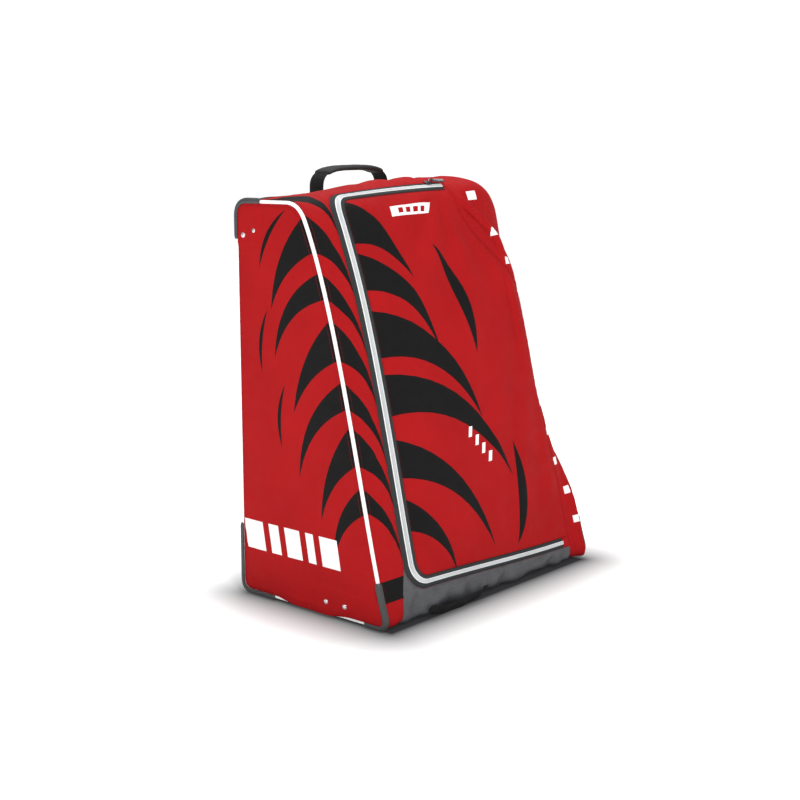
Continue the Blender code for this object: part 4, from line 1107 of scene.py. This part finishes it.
def side_relief(depth, height):
    """The corner plates behind the rivets lift the cloth a little, and so does the cord it hangs over."""
    top_plate = over_plate(TOP_PLATE[0] - depth) * over_plate(height - TOP_PLATE[1])
    low_plate = over_plate(depth - LOW_PLATE[0]) * over_plate(LOW_PLATE[1] - height)
    return PLATE_LIFT * (top_plate + low_plate) + SAG_LIFT * low_sag(depth, height)


def over_plate(inward):
    """Share of a plate's thickness that shows, a distance inward of its edge."""
    return smooth(inward, -PLATE_EDGE, PLATE_EDGE)


def fabric():
    """Every cloth panel of the bag."""
    left_strip()
    right_strip()
    kick()
    top()
    door()
    back_and_base()
    for side, side_name in SIDES:
        side_cloth(side, side_name)


# ---------------------------------------------------------------- stitches
STITCH_PITCH = 0.0044
STITCH_SIZE = (0.0030, 0.00036, 0.00045)
STITCH_LIFT = 0.0002
STITCH_SHAPE = np.array(((-0.5, 0, 0), (-0.22, -1, 0), (-0.22, 1, 0), (-0.22, 0, 1), (0.22, -1, 0),
                         (0.22, 1, 0), (0.22, 0, 1), (0.5, 0, 0)))
STITCH_FACES = ((0, 1, 3), (0, 3, 2), (1, 4, 6, 3), (3, 6, 5, 2), (4, 7, 6), (6, 7, 5))
STITCH_FROM_SEAM = 0.004
SEAM_TO_STITCH = 0.0035
EDGE_TO_STITCH = 0.003
SEAM_END = 0.004
ROW_PITCH = 0.004


def stitches(name, lines, laid, body="shell"):
    """Rows of short threads along flat lines, laid on a surface."""
    thread = STITCH_SHAPE * STITCH_SIZE
    parts = []
    for line in lines:
        spots = resample(np.asarray(line, float), STITCH_PITCH)
        along = unit(np.gradient(spots, axis=0)) * NEARBY
        aside = flat_points(-along[:, 1], along[:, 0])
        here, ahead, beside = (laid(*near.T, np.full(len(spots), STITCH_FROM_SEAM), 0.0)
                               for near in (spots, spots + along, spots + aside))
        forward, sideways = unit(ahead - here), unit(beside - here)
        for point, f, s, n in zip(here, forward, sideways, np.cross(forward, sideways)):
            parts.append((point + n * STITCH_LIFT + thread @ np.stack((f, s, n)), STITCH_FACES))
    return joined(name, parts, THREAD_RED, "red_fabric", body)


def sewing():
    """Rows of stitches beside the left piping, the zip and the crease, and round both sides."""
    beside_zip = TAPE_EDGE + EDGE_TO_STITCH
    rows = np.arange(0.02, BACK_SEAM - SEAM_END, ROW_PITCH)
    crease_rows = np.arange(ZIP_FOOT, BACK_SEAM - SEAM_END, ROW_PITCH)
    shell_lines = [flat_points(SEAM_TO_STITCH, rows), zip_line(-beside_zip),
                   flat_points(crease_across(crease_rows) + SEAM_TO_STITCH, crease_rows)]
    stitches("stitches_front", shell_lines, front_place)
    fold_with_door(stitches("stitches_door", [zip_line(beside_zip)], front_place, None))
    for side, side_name in SIDES:
        line = flat_points(*inside_rim(np.linspace(0.0, LOOP, 500), EDGE_INSET + EDGE_TO_STITCH))

        def laid(depth, height, seam_distance, inner):
            return side_point(side, depth, height, -STITCH_LIFT - side_relief(depth, height))

        stitches("stitches_side_" + side_name, [line[::side]], laid)


# ---------------------------------------------------------------- piping and guards
def edge_centre(along, side):
    """Middle of the piping cord at distances along the side outline."""
    return side_point(side, *inside_rim(along, CORD_RADIUS), CORD_RADIUS)


def edge_ring(along, side, radius, angles):
    """Cross-section points round the cord: angle 0 points sideways, 90 degrees away from the bag."""
    centre = edge_centre(along, side)
    out_depth, out_height = rim_outward(along)
    sideways = np.array((side, 0.0, 0.0))
    away = flat_points(0.0, -out_depth, out_height)
    t = np.asarray(angles)[None, :, None]
    return centre[:, None] + radius * (np.cos(t) * sideways + np.sin(t) * away[:, None])


def piping(side, side_name):
    """Round cord, a little thinner than its CAD solid, all round the side."""
    rings = edge_ring(np.linspace(0.0, LOOP, 420)[:-1], side, CORD_SHARE * CORD_RADIUS, turn(16))
    loft("piping_cord_" + side_name, rings, WHITE_VINYL, "white_cord", closed_path=True,
         flip=side < 0, node="piping_" + side_name)


GUARDS = {
    "top_back": (STATION["back_corner"] - 0.034, STATION["back"] + 0.040),
    "bottom_back": (STATION["heel"] - 0.110, STATION["base"] + 0.066),
    "bottom_front": (LOOP - 0.030, LOOP + STATION["front"] + 0.055),
}
GUARD_WALL = 0.0030
GUARD_GAP = 0.0002
GUARD_MIDDLE_DEG = 45
GUARD_HALF_DEG = 83
GUARD_END = 0.006
CORD_SHARE = 0.80


def guard(corner, side, side_name):
    """Moulded channel over the piping round a corner, with rounded ends and lips."""
    start, end = GUARDS[corner]
    along = np.linspace(start, end, 70)
    to_end = np.minimum(along - start, end - along)
    thick = GUARD_WALL * (0.45 + 0.55 * np.sqrt(smooth(to_end, 0.0, GUARD_END)))
    hollow = CORD_RADIUS + GUARD_GAP
    outer, inner = [], []
    first, last = GUARD_MIDDLE_DEG - GUARD_HALF_DEG, GUARD_MIDDLE_DEG + GUARD_HALF_DEG
    for angle in np.radians(np.linspace(first, last, 15)):
        lip = max(0.0, math.cos((angle - math.radians(GUARD_MIDDLE_DEG)) * 90 / GUARD_HALF_DEG)) ** 0.25
        outer.append(edge_ring(along, side, (hollow + thick * lip)[:, None, None], [angle])[:, 0])
        inner.append(edge_ring(along, side, hollow, [angle])[:, 0])
    ring = np.stack(outer + inner[::-1], axis=1)
    place_name = corner + "_" + side_name
    loft("guard_" + place_name, ring, GUARD_GREY, "grey_plastic", flip=side > 0,
         node="corner_guard_" + place_name)


def edging():
    """Piping and corner guards of both sides."""
    for side, side_name in SIDES:
        piping(side, side_name)
        for corner in GUARDS:
            guard(corner, side, side_name)


# ---------------------------------------------------------------- rivets
RIVET_RADIUS = 0.0056
RIVET_DOME = 0.0030
RIVET_SEAT = 0.0026
SHANK_RADIUS = 0.0025
WASHER = ((0.0040, 0.0013), (0.0078, 0.0013), (0.0084, 0.0008), (0.0084, -0.0002), (0.0040, -0.0002))


def turned(profile, centre, side, steps):
    """Points and faces of a (radius, reach) profile turned round an axis along X."""
    t = turn(steps)
    rings = [flat_points(centre[0] + side * reach, centre[1] + radius * np.cos(t),
                         centre[2] + radius * np.sin(t)) for radius, reach in profile]
    return np.vstack(rings), turned_over(tube_faces(len(rings), steps), side > 0)


def rivets():
    """Domed rivet heads, each in a dark pressed washer."""
    head = [(RIVET_RADIUS * math.cos(t), 0.0008 + RIVET_DOME * math.sin(t))
            for t in np.linspace(math.radians(86), 0.0, 8)]
    head += [(RIVET_RADIUS * 0.98, 0.0003), (SHANK_RADIUS, 0.0), (SHANK_RADIUS, -0.008)]
    for node in [name for name in frame["nodes"] if name.startswith("rivet_")]:
        low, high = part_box(node)
        side = 1 if low.x > 0 else -1
        face = high.x if side > 0 else low.x
        centre = (face - side * RIVET_SEAT, (low.y + high.y) / 2, (low.z + high.z) / 2)
        joined(node + "_head", [turned(head, centre, side, 28)], STEEL, "rivet_steel", node=node)
        joined(node + "_washer", [turned(WASHER, centre, side, 28)], PLASTIC_BLACK, "black_plastic")


# ---------------------------------------------------------------- zip
TOOTH_PITCH = 0.0024
TOOTH_HALF = 0.00095
TOOTH_RISE = 0.0021
TOOTH_SEAT = 0.0006
BAND_PITCH = 0.004
ZIP_TAPE_SECTION = ((0.0048, 0.0004), (0.0056, 0.0009), (0.0150, 0.0010), (0.0185, -0.0016),
                    (0.0185, -0.0026), (0.0048, -0.0016))
ZIP_GROUND_SECTION = ((0.0009, 0.0005), (0.0050, 0.0007), (0.0050, -0.0004), (0.0009, -0.0004))
ZIP_EDGE_SECTION = [(0.0055 + 0.0010 * math.cos(a), 0.0010 + 0.0010 * math.sin(a)) for a in turn(8)]


def zip_frame(offset, pitch):
    """Points beside the zip's middle line, with its heading, sideways and outward directions there."""
    spots = resample(zip_line(0.0), pitch)
    heading = unit(np.gradient(spots, axis=0))
    into = flat_points(-heading[:, 1], heading[:, 0])
    width = zip_width(into[:, :1])
    moved = spots + into * offset * width
    here, up = skin(*moved.T), skin_outward(*moved.T)
    sideways = unit(skin(*(moved + into * NEARBY).T) - here)
    return here, np.cross(sideways, up), sideways, up, width


def zip_band(name, profile, direction, material, body, node=None):
    """Strip along the zip whose cross-section is (offset, lift) points on one side of its middle."""
    rings = []
    for offset, lift in profile:
        here, _, _, up, _ = zip_frame(offset * direction, BAND_PITCH)
        rings.append(here + up * lift)
    ring = np.stack(rings, axis=1)
    return loft(name, ring, material, "zip_tape", body, flip=direction < 0, node=node)


def tooth_rows(direction):
    """Interlocking rounded teeth of one half of the zip."""
    here, forward, sideways, up, width = zip_frame(0.0, TOOTH_PITCH)
    arch = ((-1.0, 0.0), (-0.75, 0.7), (0.0, 1.0), (0.75, 0.7), (1.0, 0.0))
    reaches = ((-0.0007, 0.35), (0.0004, 1.0), (0.0042, 1.0), (0.0053, 0.45))
    shape = np.array([(TOOTH_HALF * a, reach, TOOTH_RISE * h * tall) for reach, tall in reaches
                      for a, h in arch])
    faces = grid_faces(len(reaches), len(arch)) + [(0, 1, 2, 3, 4), (19, 18, 17, 16, 15)]
    faces = turned_over(faces, direction < 0)
    shift = TOOTH_PITCH / 4 * direction
    return [(point + u * TOOTH_SEAT + f * shift + shape @ np.stack((f, s, u)), faces)
            for point, f, s, u in zip(here, forward, sideways * direction * width, up)]


def zip_half(side_name, direction, node):
    """Tape, white edge cord, pale ground and teeth of one half of the zip."""
    body = "shell" if direction < 0 else None
    made = [zip_band("zip_tape_" + side_name, ZIP_TAPE_SECTION, direction, TAPE, body, node),
            zip_band("zip_ground_" + side_name, ZIP_GROUND_SECTION, direction, TOOTH, body),
            zip_band("zip_edge_" + side_name, ZIP_EDGE_SECTION, direction, ZIP_WHITE, body),
            joined("zip_teeth_" + side_name, tooth_rows(direction), TOOTH, "zip_tape", body)]
    if direction > 0:
        for obj in made:
            fold_with_door(obj)


def end_tab():
    """Red cloth tab sewn over the foot end of the zip."""
    outline = ((ZIP_FOOT_END - 0.001, ZIP_FOOT - 0.0115), (CREASE - 0.004, ZIP_FOOT - 0.0125),
               (CREASE - 0.004, ZIP_FOOT + 0.0105), (ZIP_FOOT_END - 0.001, ZIP_FOOT + 0.0095))

    def laid(across, along, seam_distance, inner):
        lift = 0.0030 * np.sqrt(smooth(seam_distance, -0.001, 0.004)) + 0.0002
        return raised(across, along, lift - 0.6 * inner)

    sheet("zip_tab_cloth", outline, [], laid, (RED_CLOTH,), "red_fabric", pitch=0.0018,
          node="zip_end_tab")


# ---------------------------------------------------------------- slider and pull
def rounded_slab(low, high, bevel, steps=4):
    """Block between two corners with rounded edges, as (points, faces) of a swollen grid."""
    low, high = np.array(low), np.array(high)
    centre, half = (low + high) / 2, (high - low) / 2
    bevel = min(bevel, *(half * 0.999))
    curve = bevel * (1 - np.cos(np.linspace(0, math.pi / 2, steps + 1)))
    axis = [np.concatenate((-h + curve, h - curve[::-1])) for h in half]
    points, faces = [], []
    for k in range(3):
        i, j = (k + 1) % 3, (k + 2) % 3
        for sign in (-1, 1):
            a, b = np.meshgrid(axis[i], axis[j], indexing="ij")
            grid = np.zeros(a.shape + (3,))
            grid[..., i], grid[..., j], grid[..., k] = a, b, sign * half[k]
            start = len(points)
            flat = grid.reshape(-1, 3)
            core = np.clip(flat, -(half - bevel), half - bevel)
            points += list(centre + core + unit(flat - core + 1e-12) * bevel)
            quads = turned_over(grid_faces(*a.shape), sign < 0)
            faces += [[start + v for v in quad] for quad in quads]
    return np.array(points), faces


PULL_DROOP_DEG = 5.0
PULL_LENGTH = 0.044


def slider_frame():
    """Slider's seat, and its directions to the right along the zip, across it and off the cloth."""
    right = -joint("zip_slide")[0]
    pull_axis, seat = joint("zip_pull_hinge")
    return seat, right, -pull_axis, np.cross(right, -pull_axis)


def set_in(points, origin, right, across, off):
    """Points built upright at the origin, moved into the slider's place."""
    return origin + np.asarray(points).reshape(-1, 3) @ np.stack((right, across, off))


def slider():
    """Zip slider: rounded top plate with a rib, side flanges and the bridge that holds the pull."""
    hinge, right, across, off = slider_frame()
    origin = hinge - right * 0.006 - off * 0.0059
    parts = [rounded_slab((-0.008, -0.0052, -0.0003), (0.008, 0.0052, 0.0019), 0.0009),
             rounded_slab((-0.007, -0.0060, -0.0020), (0.006, -0.0046, 0.0012), 0.0005),
             rounded_slab((-0.007, 0.0046, -0.0020), (0.006, 0.0060, 0.0012), 0.0005),
             rounded_slab((-0.006, -0.0026, 0.0012), (0.007, 0.0026, 0.0029), 0.0007)]
    bridge = []
    for a in np.linspace(0.0, math.pi, 15):
        centre = np.array((0.0035 - 0.0068 * math.cos(a), 0.0, 0.0020 + 0.0064 * math.sin(a)))
        radial = np.array((-math.cos(a), 0.0, math.sin(a)))
        bridge.append([centre + 0.0009 * math.cos(b) * radial + np.array((0, 0.0016 * math.sin(b), 0))
                       for b in turn(8)])
    parts.append((bridge, grid_faces(len(bridge), 8, False, True)))
    parts = [(set_in(points, origin, right, across, off), faces) for points, faces in parts]
    joined("slider_body", parts, NICKEL, "zip_metal", "zip_slider", "zip_slider")


def squared(values, power):
    """Sine or cosine values with their signs kept, pushed towards 1 by a power below 1."""
    return np.sign(values) * np.abs(values) ** power


def rounded_ring(steps, middle, wide, thick, wide_power, thick_power):
    """Rounded flat cross-section about a middle, from its half-width and half-thickness vectors."""
    t = turn(steps)[:, None]
    return middle + squared(np.cos(t), wide_power) * wide + squared(np.sin(t), thick_power) * thick


def pull():
    """Zip pull: a narrow neck that widens into a tab with grip ridges."""
    hinge, right, across, off = slider_frame()
    droop = math.radians(PULL_DROOP_DEG)
    forward = np.array((math.cos(droop), 0.0, -math.sin(droop)))
    upward = np.array((math.sin(droop), 0.0, math.cos(droop)))
    sections = []
    for s in np.linspace(0.0, 1.0, 81):
        run = PULL_LENGTH * s
        width = 0.0030 + 0.0024 * float(smooth(s, 0.10, 0.30)) - 0.0010 * float(smooth(s, 0.88, 1.0))
        ridge = 0.0006 * max(0.0, math.sin(run * math.tau / 0.0036)) * float(0.24 < s < 0.92)
        thick = 0.0009 + ridge
        if s < 0.03 or s > 0.985:
            thick, width = thick * 0.6, width * 0.8
        ring = rounded_ring(16, forward * run, np.array((0.0, width, 0.0)), upward * thick, 0.5, 0.7)
        sections.append(set_in(ring, hinge, right, across, off))
    loft("pull_tab", sections, NICKEL, "zip_metal", "zip_pull", node="zip_pull_tab")


# ---------------------------------------------------------------- handles
HANDLE_HALF_SPAN = 0.095
HANDLE_RISE = 0.042
HANDLE_POWER = 0.62
STRAP_HALF = 0.0185
STRAP_HALF_THICK = 0.0013
FOOT_SPLAY = 0.0048
FOOT_DROP = 0.0062
ANCHOR_LENGTH = 0.024
FAR_FROM_SEAM = 0.05
UPWARD = np.array((0.0, 0.0, 1.0))
BACKWARD = np.array((0.0, 1.0, 0.0))


def handle_line(t):
    """Middle line of the top handle, t from 0 at the left foot to 1 at the right foot."""
    axis, centre = joint("top_handle_hinge")
    x = -HANDLE_HALF_SPAN * squared(np.cos(math.pi * t), HANDLE_POWER)
    rise = HANDLE_RISE * np.sin(math.pi * t) ** HANDLE_POWER
    return centre + axis * x[:, None] / axis[0] + UPWARD * rise[:, None]


def strap_rings(line, half_width, half_thickness, power, steps):
    """Rounded flat cross-sections along a line in the handle's upright plane."""
    normal = unit(np.cross(unit(np.gradient(line, axis=0)), BACKWARD))
    return np.array([rounded_ring(steps, middle, BACKWARD * wide, off * thick, power, power)
                     for middle, off, wide, thick in zip(line, normal, half_width, half_thickness)])


def top_height(x, y):
    """Height of the skin near the back edge of the top."""
    corner_y = BACK_Y - float(rim(STATION["back_corner"])[0])
    return skin(x - SKIN_LEFT, STATION["back_corner"] + y - corner_y)[..., 2]


def handle_strap():
    """Webbing of the top handle, sewn to the bag at both feet."""
    t = 0.5 - 0.5 * np.cos(np.linspace(0.0, math.pi, 90))
    line = handle_line(t)
    foot = np.linspace(0.0, 1.0, 10)[:, None]
    left = line[0] + foot[::-1] * np.array((-FOOT_SPLAY, 0.0, -FOOT_DROP))
    right = line[-1] + foot * np.array((FOOT_SPLAY, 0.0, -FOOT_DROP))
    line = np.vstack((left[:-1], line, right[1:]))
    same = np.ones(len(line))
    rings = strap_rings(line, STRAP_HALF * same, STRAP_HALF_THICK * same, 0.4, 20)
    under = top_height(line[:, 0], line[:, 1])
    flat = 1 - smooth(line[:, 2] - under, 0.006, 0.018)
    rings[..., 2] += flat[:, None] * (top_height(rings[..., 0], rings[..., 1]) - under[:, None])
    strap = loft("handle_strap", rings, WEBBING, "webbing", None, node="top_handle_webbing")
    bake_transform(strap)


def handle_wrap():
    """Padded cloth sleeve round the grip, a little creased, and thinner at its ends."""
    t = np.linspace(0.235, 0.765, 80)
    line = handle_line(t)
    s = (t - t[0]) / (t[-1] - t[0])
    ends = np.clip(np.minimum(s, 1 - s) / 0.05, 0.0, 1.0) ** 0.5
    crease = 1 + 0.035 * np.sin(s * 55.0) * np.sin(s * 17.0 + 1.0)
    rings = strap_rings(line, 0.0195 + 0.0032 * ends, (0.0022 + 0.0034 * ends) * crease, 1 / 1.3, 28)
    loft("handle_sleeve", rings, WRAP_CLOTH, "black_fabric", "top_handle", node="top_handle_wrap")


def sewn_on(base, lift, edge_start, edge_end, thickness):
    """Way to lay a small sheet on the cloth, curving down to it at its edges."""
    def laid(across, along, seam_distance, inner):
        rise = base + lift * np.sqrt(smooth(seam_distance, edge_start, edge_end))
        return front_place(across, along, np.full_like(across, FAR_FROM_SEAM), thickness * inner - rise)

    return laid


def anchors():
    """Webbing feet of the handle, sewn to the rounded back edge of the top."""
    start = STATION["back_corner"] + 0.003
    for _, side_name in SIDES:
        low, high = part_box("handle_anchor_" + side_name)
        outline = box_outline(low.x - SKIN_LEFT, start, high.x - SKIN_LEFT, start + ANCHOR_LENGTH)
        sheet("handle_foot_" + side_name, outline, [], sewn_on(0.0012, 0.0018, -0.001, 0.003, 0.6),
              (WEBBING,), "webbing", pitch=0.003, node="handle_anchor_" + side_name)


def low_strap():
    """Webbing grab strap under the front edge, a little bowed and wavy."""
    _, hinge = joint("low_handle_hinge")
    hang, out = np.array((0.0, 0.50, -0.866)), np.array((0.0, -0.866, -0.50))
    half_span, half_width, half_thickness = 0.0715, 0.0115, 0.0011
    rings = []
    for s in np.linspace(-1.0, 1.0, 61):
        forward = 0.0014 + 0.0045 * (1 - s * s) + 0.0008 * math.sin(s * 9.0)
        down = 0.0085 + 0.0035 * (1 - s ** 4)
        middle = hinge + np.array((half_span * s, 0.0, 0.0)) + hang * down + out * forward
        rings.append(rounded_ring(16, middle, hang * half_width, out * half_thickness, 0.35, 0.7))
    loft("low_strap", rings, WEBBING, "webbing", "low_handle", flip=True, node="low_handle_webbing")


# ---------------------------------------------------------------- patch, pocket, shelf
def patch():
    """White patch near the top of the door, with four plain squares."""
    low, high = along_at_height(HEIGHT - 0.045), along_at_height(HEIGHT - 0.028)
    left, right, slant = 0.215, 0.335, 0.010
    outline = ((left, low), (right - 0.6 * slant, low + 0.002), (right + slant, high),
               (left + 0.4 * slant, high - 0.002))
    marks = [(bar((left + 0.020 + 0.023 * i, low + 0.0050), 0.014, 0.0085, 0.003), 1) for i in range(4)]
    sheet("patch_cloth", outline, marks, sewn_on(0.0, 0.0012, -0.0005, 0.002, 0.2),
          (WHITE_CLOTH, RED_CLOTH), "blank_patch", "door", 0.003, node="blank_patch")


def pocket():
    """Mesh pocket that hangs slack inside the door."""
    def laid(across, along, seam_distance, inner):
        slack = 0.008 * smooth(seam_distance, 0.0, 0.05) + 0.0010 * np.sin(across * 60)
        return front_place(across, along, np.full_like(across, FAR_FROM_SEAM),
                           SHEET + 0.0008 + slack - 0.2 * inner)

    outline = box_outline(0.130, along_at_height(0.150), 0.400, along_at_height(0.420))
    sheet("pocket_net", outline, [], laid, (NETTING,), "mesh_fabric", "door", 0.007, True,
          "door_mesh_pocket")


BINDING_HALF = 0.0016
BINDING_RISE = 0.0030


def shelf():
    """Padded fold-up shelf: a cloth slab with a bound edge."""
    low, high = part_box("shelf_board")
    gx, gy = np.meshgrid(np.linspace(low.x, high.x, 41), np.linspace(low.y, high.y, 21))
    to_edge = np.minimum.reduce((gx - low.x, high.x - gx, gy - low.y, high.y - gy))
    puff = np.sqrt(np.clip(to_edge / 0.010, 0.0, 1.0)) * (0.75 + 0.25 * smooth(to_edge, 0.0, 0.08))
    middle, half = (low.z + high.z) / 2, (high.z - low.z) / 2
    swell = 0.0006 + (half - 0.0006) * puff
    points = np.stack([flat_points(gx, gy, middle + sign * swell) for sign in (1, -1)])
    faces = grid_faces(*gx.shape)
    faces += [tuple(i + gx.size for i in face) for face in turned_over(faces)]
    piece("shelf_pad", points, faces, [LINING], "black_fabric", "shelf", None, points[..., :2],
          "shelf_board")
    line = closed(box_outline(low.x, low.y, high.x, high.y), 0.010)
    heading = unit(np.roll(line, -1, axis=0) - np.roll(line, 1, axis=0))
    out = flat_points(heading[:, 1], -heading[:, 0], 0.0)
    centre = flat_points(line[:, 0], line[:, 1], middle) - out * BINDING_HALF
    rings = [rounded_ring(8, point, aside * BINDING_HALF, UPWARD * BINDING_RISE, 1.0, 1.0)
             for point, aside in zip(centre, out)]
    loft("shelf_binding", rings, WEBBING, "webbing", "shelf", closed_path=True)


# ---------------------------------------------------------------- wheels
TYRE_BORE = 0.0246


def wheels():
    """Both wheels, each a tyre on a hub."""
    for _, side_name in SIDES:
        low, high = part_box("wheel_tread_" + side_name)
        centre = np.array((low + high) / 2)
        radius, half = (high.z - low.z) / 2, (high.x - low.x) / 2
        tread(centre, radius, half, side_name)
        hub(centre, half, side_name)


def spun(points, angle):
    """Points turned about an axis along X."""
    x, y, z = np.asarray(points, float).T
    c, s = math.cos(angle), math.sin(angle)
    return flat_points(x, y * c - z * s, y * s + z * c)


def tread(centre, radius, half, side_name):
    """Rubber tyre: crowned, with a groove down its middle and small cross cuts."""
    rings = []
    for number, angle in enumerate(turn(72)):
        cut = 0.0007 if number % 4 == 0 else 0.0
        ring = []
        for share in np.linspace(-1.0, 1.0, 25):
            crown = radius - 0.0055 * abs(share) ** 5 - 0.0012 * math.exp(-(share / 0.09) ** 2)
            crown -= cut * float(0.35 < abs(share) < 0.85)
            ring.append((share * half, crown, 0.0))
        ring += [(half * 0.96, TYRE_BORE, 0.0), (-half * 0.96, TYRE_BORE, 0.0)]
        rings.append(centre + spun(ring, angle))
    loft("wheel_tyre_" + side_name, rings, RUBBER, "tyre", "wheel_" + side_name, closed_path=True,
         flip=True, node="wheel_tread_" + side_name)


def hub(centre, half, side_name):
    """Plastic hub: rim, five webs and a centre boss round the axle."""
    parts = []
    for inner, outer, reach in ((0.0198, 0.0244, half * 0.92), (0.0045, 0.0092, half * 0.98)):
        profile = [(-reach, inner, 0.0), (-reach, outer, 0.0), (reach, outer, 0.0), (reach, inner, 0.0)]
        points = [centre + spun(profile, angle) for angle in turn(48)]
        parts.append((points, turned_over(grid_faces(48, 4, True, True))))
    points, faces = rounded_slab((-half * 0.80, 0.0080, -0.0028), (half * 0.80, 0.0208, 0.0028), 0.0012)
    parts += [(centre + spun(points, angle), faces) for angle in turn(5)]
    joined("wheel_core_" + side_name, parts, GUARD_GREY, "grey_plastic", "wheel_" + side_name,
           "wheel_hub_" + side_name)


# ---------------------------------------------------------------- CAD nodes that stay
KEPT = {
    "wheel_housing": PLASTIC_BLACK, "front_foot": PLASTIC_BLACK, "axle": STEEL,
    "corner_plate": BOARD_BLACK, "back_board": BOARD_BLACK, "base_board": BOARD_BLACK,
    "shelf_batten": BOARD_BLACK, "shelf_ledge": BOARD_BLACK,
    "low_handle_anchor": WEBBING_PLAIN,
}


def keep_nodes():
    """Better materials for the CAD nodes whose shape is already right."""
    for name, obj in frame["nodes"].items():
        for start, material in KEPT.items():
            if name.startswith(start):
                obj.data.materials.clear()
                obj.data.materials.append(material)


# ---------------------------------------------------------------- stage, lights, camera
FLOOR_REACH = 30.0
LIGHTS_AIM = Vector((0.0, 0.0, 0.4))


def aimed(name, data, position, direction):
    """Light or camera at a position, pointing in a direction."""
    obj = bpy.data.objects.new(name, data)
    obj.location = position
    obj.rotation_mode = "QUATERNION"
    obj.rotation_quaternion = direction.to_track_quat("-Z", "Y")
    bpy.context.collection.objects.link(obj)
    return obj


def area_light(name, position, size, power):
    data = bpy.data.lights.new(name, "AREA")
    data.shape = "DISK"
    data.size = size
    data.energy = power
    aimed(name, data, position, LIGHTS_AIM - Vector(position))


def studio():
    """Pale floor, even pale surroundings and three soft lights."""
    mesh = bpy.data.meshes.new("studio_floor")
    corners = [(x, y, 0.0) for x, y in box_outline(-FLOOR_REACH, -FLOOR_REACH, FLOOR_REACH, FLOOR_REACH)]
    mesh.from_pydata(corners, [], [(0, 1, 2, 3)])
    floor = bpy.data.objects.new("studio_floor", mesh)
    bpy.context.collection.objects.link(floor)
    mesh.materials.append(floor_white())
    world = bpy.data.worlds.new("studio")
    bpy.context.scene.world = world
    world.use_nodes = True
    tree = world.node_tree
    glow = tree.nodes["Background"]
    glow.inputs["Color"].default_value = (1.0, 1.0, 1.0, 1.0)
    seen = tree.nodes.new("ShaderNodeLightPath").outputs["Is Camera Ray"]
    strength = tree.nodes.new("ShaderNodeMapRange")
    strength.inputs["To Min"].default_value = 0.46
    strength.inputs["To Max"].default_value = 1.10
    tree.links.new(seen, strength.inputs["Value"])
    tree.links.new(strength.outputs[0], glow.inputs["Strength"])
    area_light("key", (-1.9, -2.7, 2.5), 1.1, 84.0)
    area_light("side_fill", (-3.0, 0.4, 1.5), 2.0, 15.0)
    area_light("top", (0.5, 0.6, 2.8), 1.6, 46.0)
    bpy.context.scene.view_settings.view_transform = "Standard"


def floor_white():
    """White floor with the bag's soft contact shadow, which fades with distance from the footprint."""
    shader = Shader("floor_white", "Object")
    where = shader.node("NewGeometry", {}).outputs["Position"]
    split = shader.node("SeparateXYZ", {"Vector": where})
    beyond = []
    for axis, half in (("X", 0.305), ("Y", 0.185)):
        from_middle = shader.math("ABSOLUTE", split.outputs[axis])
        outside = shader.math("MAXIMUM", shader.math("SUBTRACT", from_middle, half), 0.0)
        beyond.append(shader.math("POWER", outside, 2.0))
    distance = shader.math("SQRT", shader.math("ADD", beyond[0], beyond[1]))
    lit = shader.ramp(distance, 0.0, 0.20)
    tint = shader.mix(shader.math("POWER", lit, 0.70), srgb(50, 50, 52), srgb(255, 255, 255))
    shader.put(shader.surface.inputs["Emission Color"], tint)
    shader.put(shader.surface.inputs["Emission Strength"], 0.55)
    return shader.finish(Base_Color=tint, Roughness=0.9, Specular_IOR_Level=0.0)


def camera():
    """Seen from the front left, a little from above."""
    yaw, pitch = math.radians(49.0), math.radians(10.21)
    data = bpy.data.cameras.new("camera")
    data.lens = 61.97
    data.sensor_width = 36.0
    forward = Vector((math.sin(yaw) * math.cos(pitch), math.cos(yaw) * math.cos(pitch), -math.sin(pitch)))
    position = (-2.0769, -1.7449, 0.8460 + FLOOR_GAP)
    bpy.context.scene.camera = aimed("camera", data, position, forward)


# ---------------------------------------------------------------- build
fabric()
sewing()
edging()
rivets()
zip_half("shell", -1, "zip_shell_side")
zip_half("door", 1, "zip_door_side")
end_tab()
slider()
pull()
handle_strap()
handle_wrap()
anchors()
low_strap()
patch()
pocket()
shelf()
wheels()
keep_nodes()
studio()
camera()
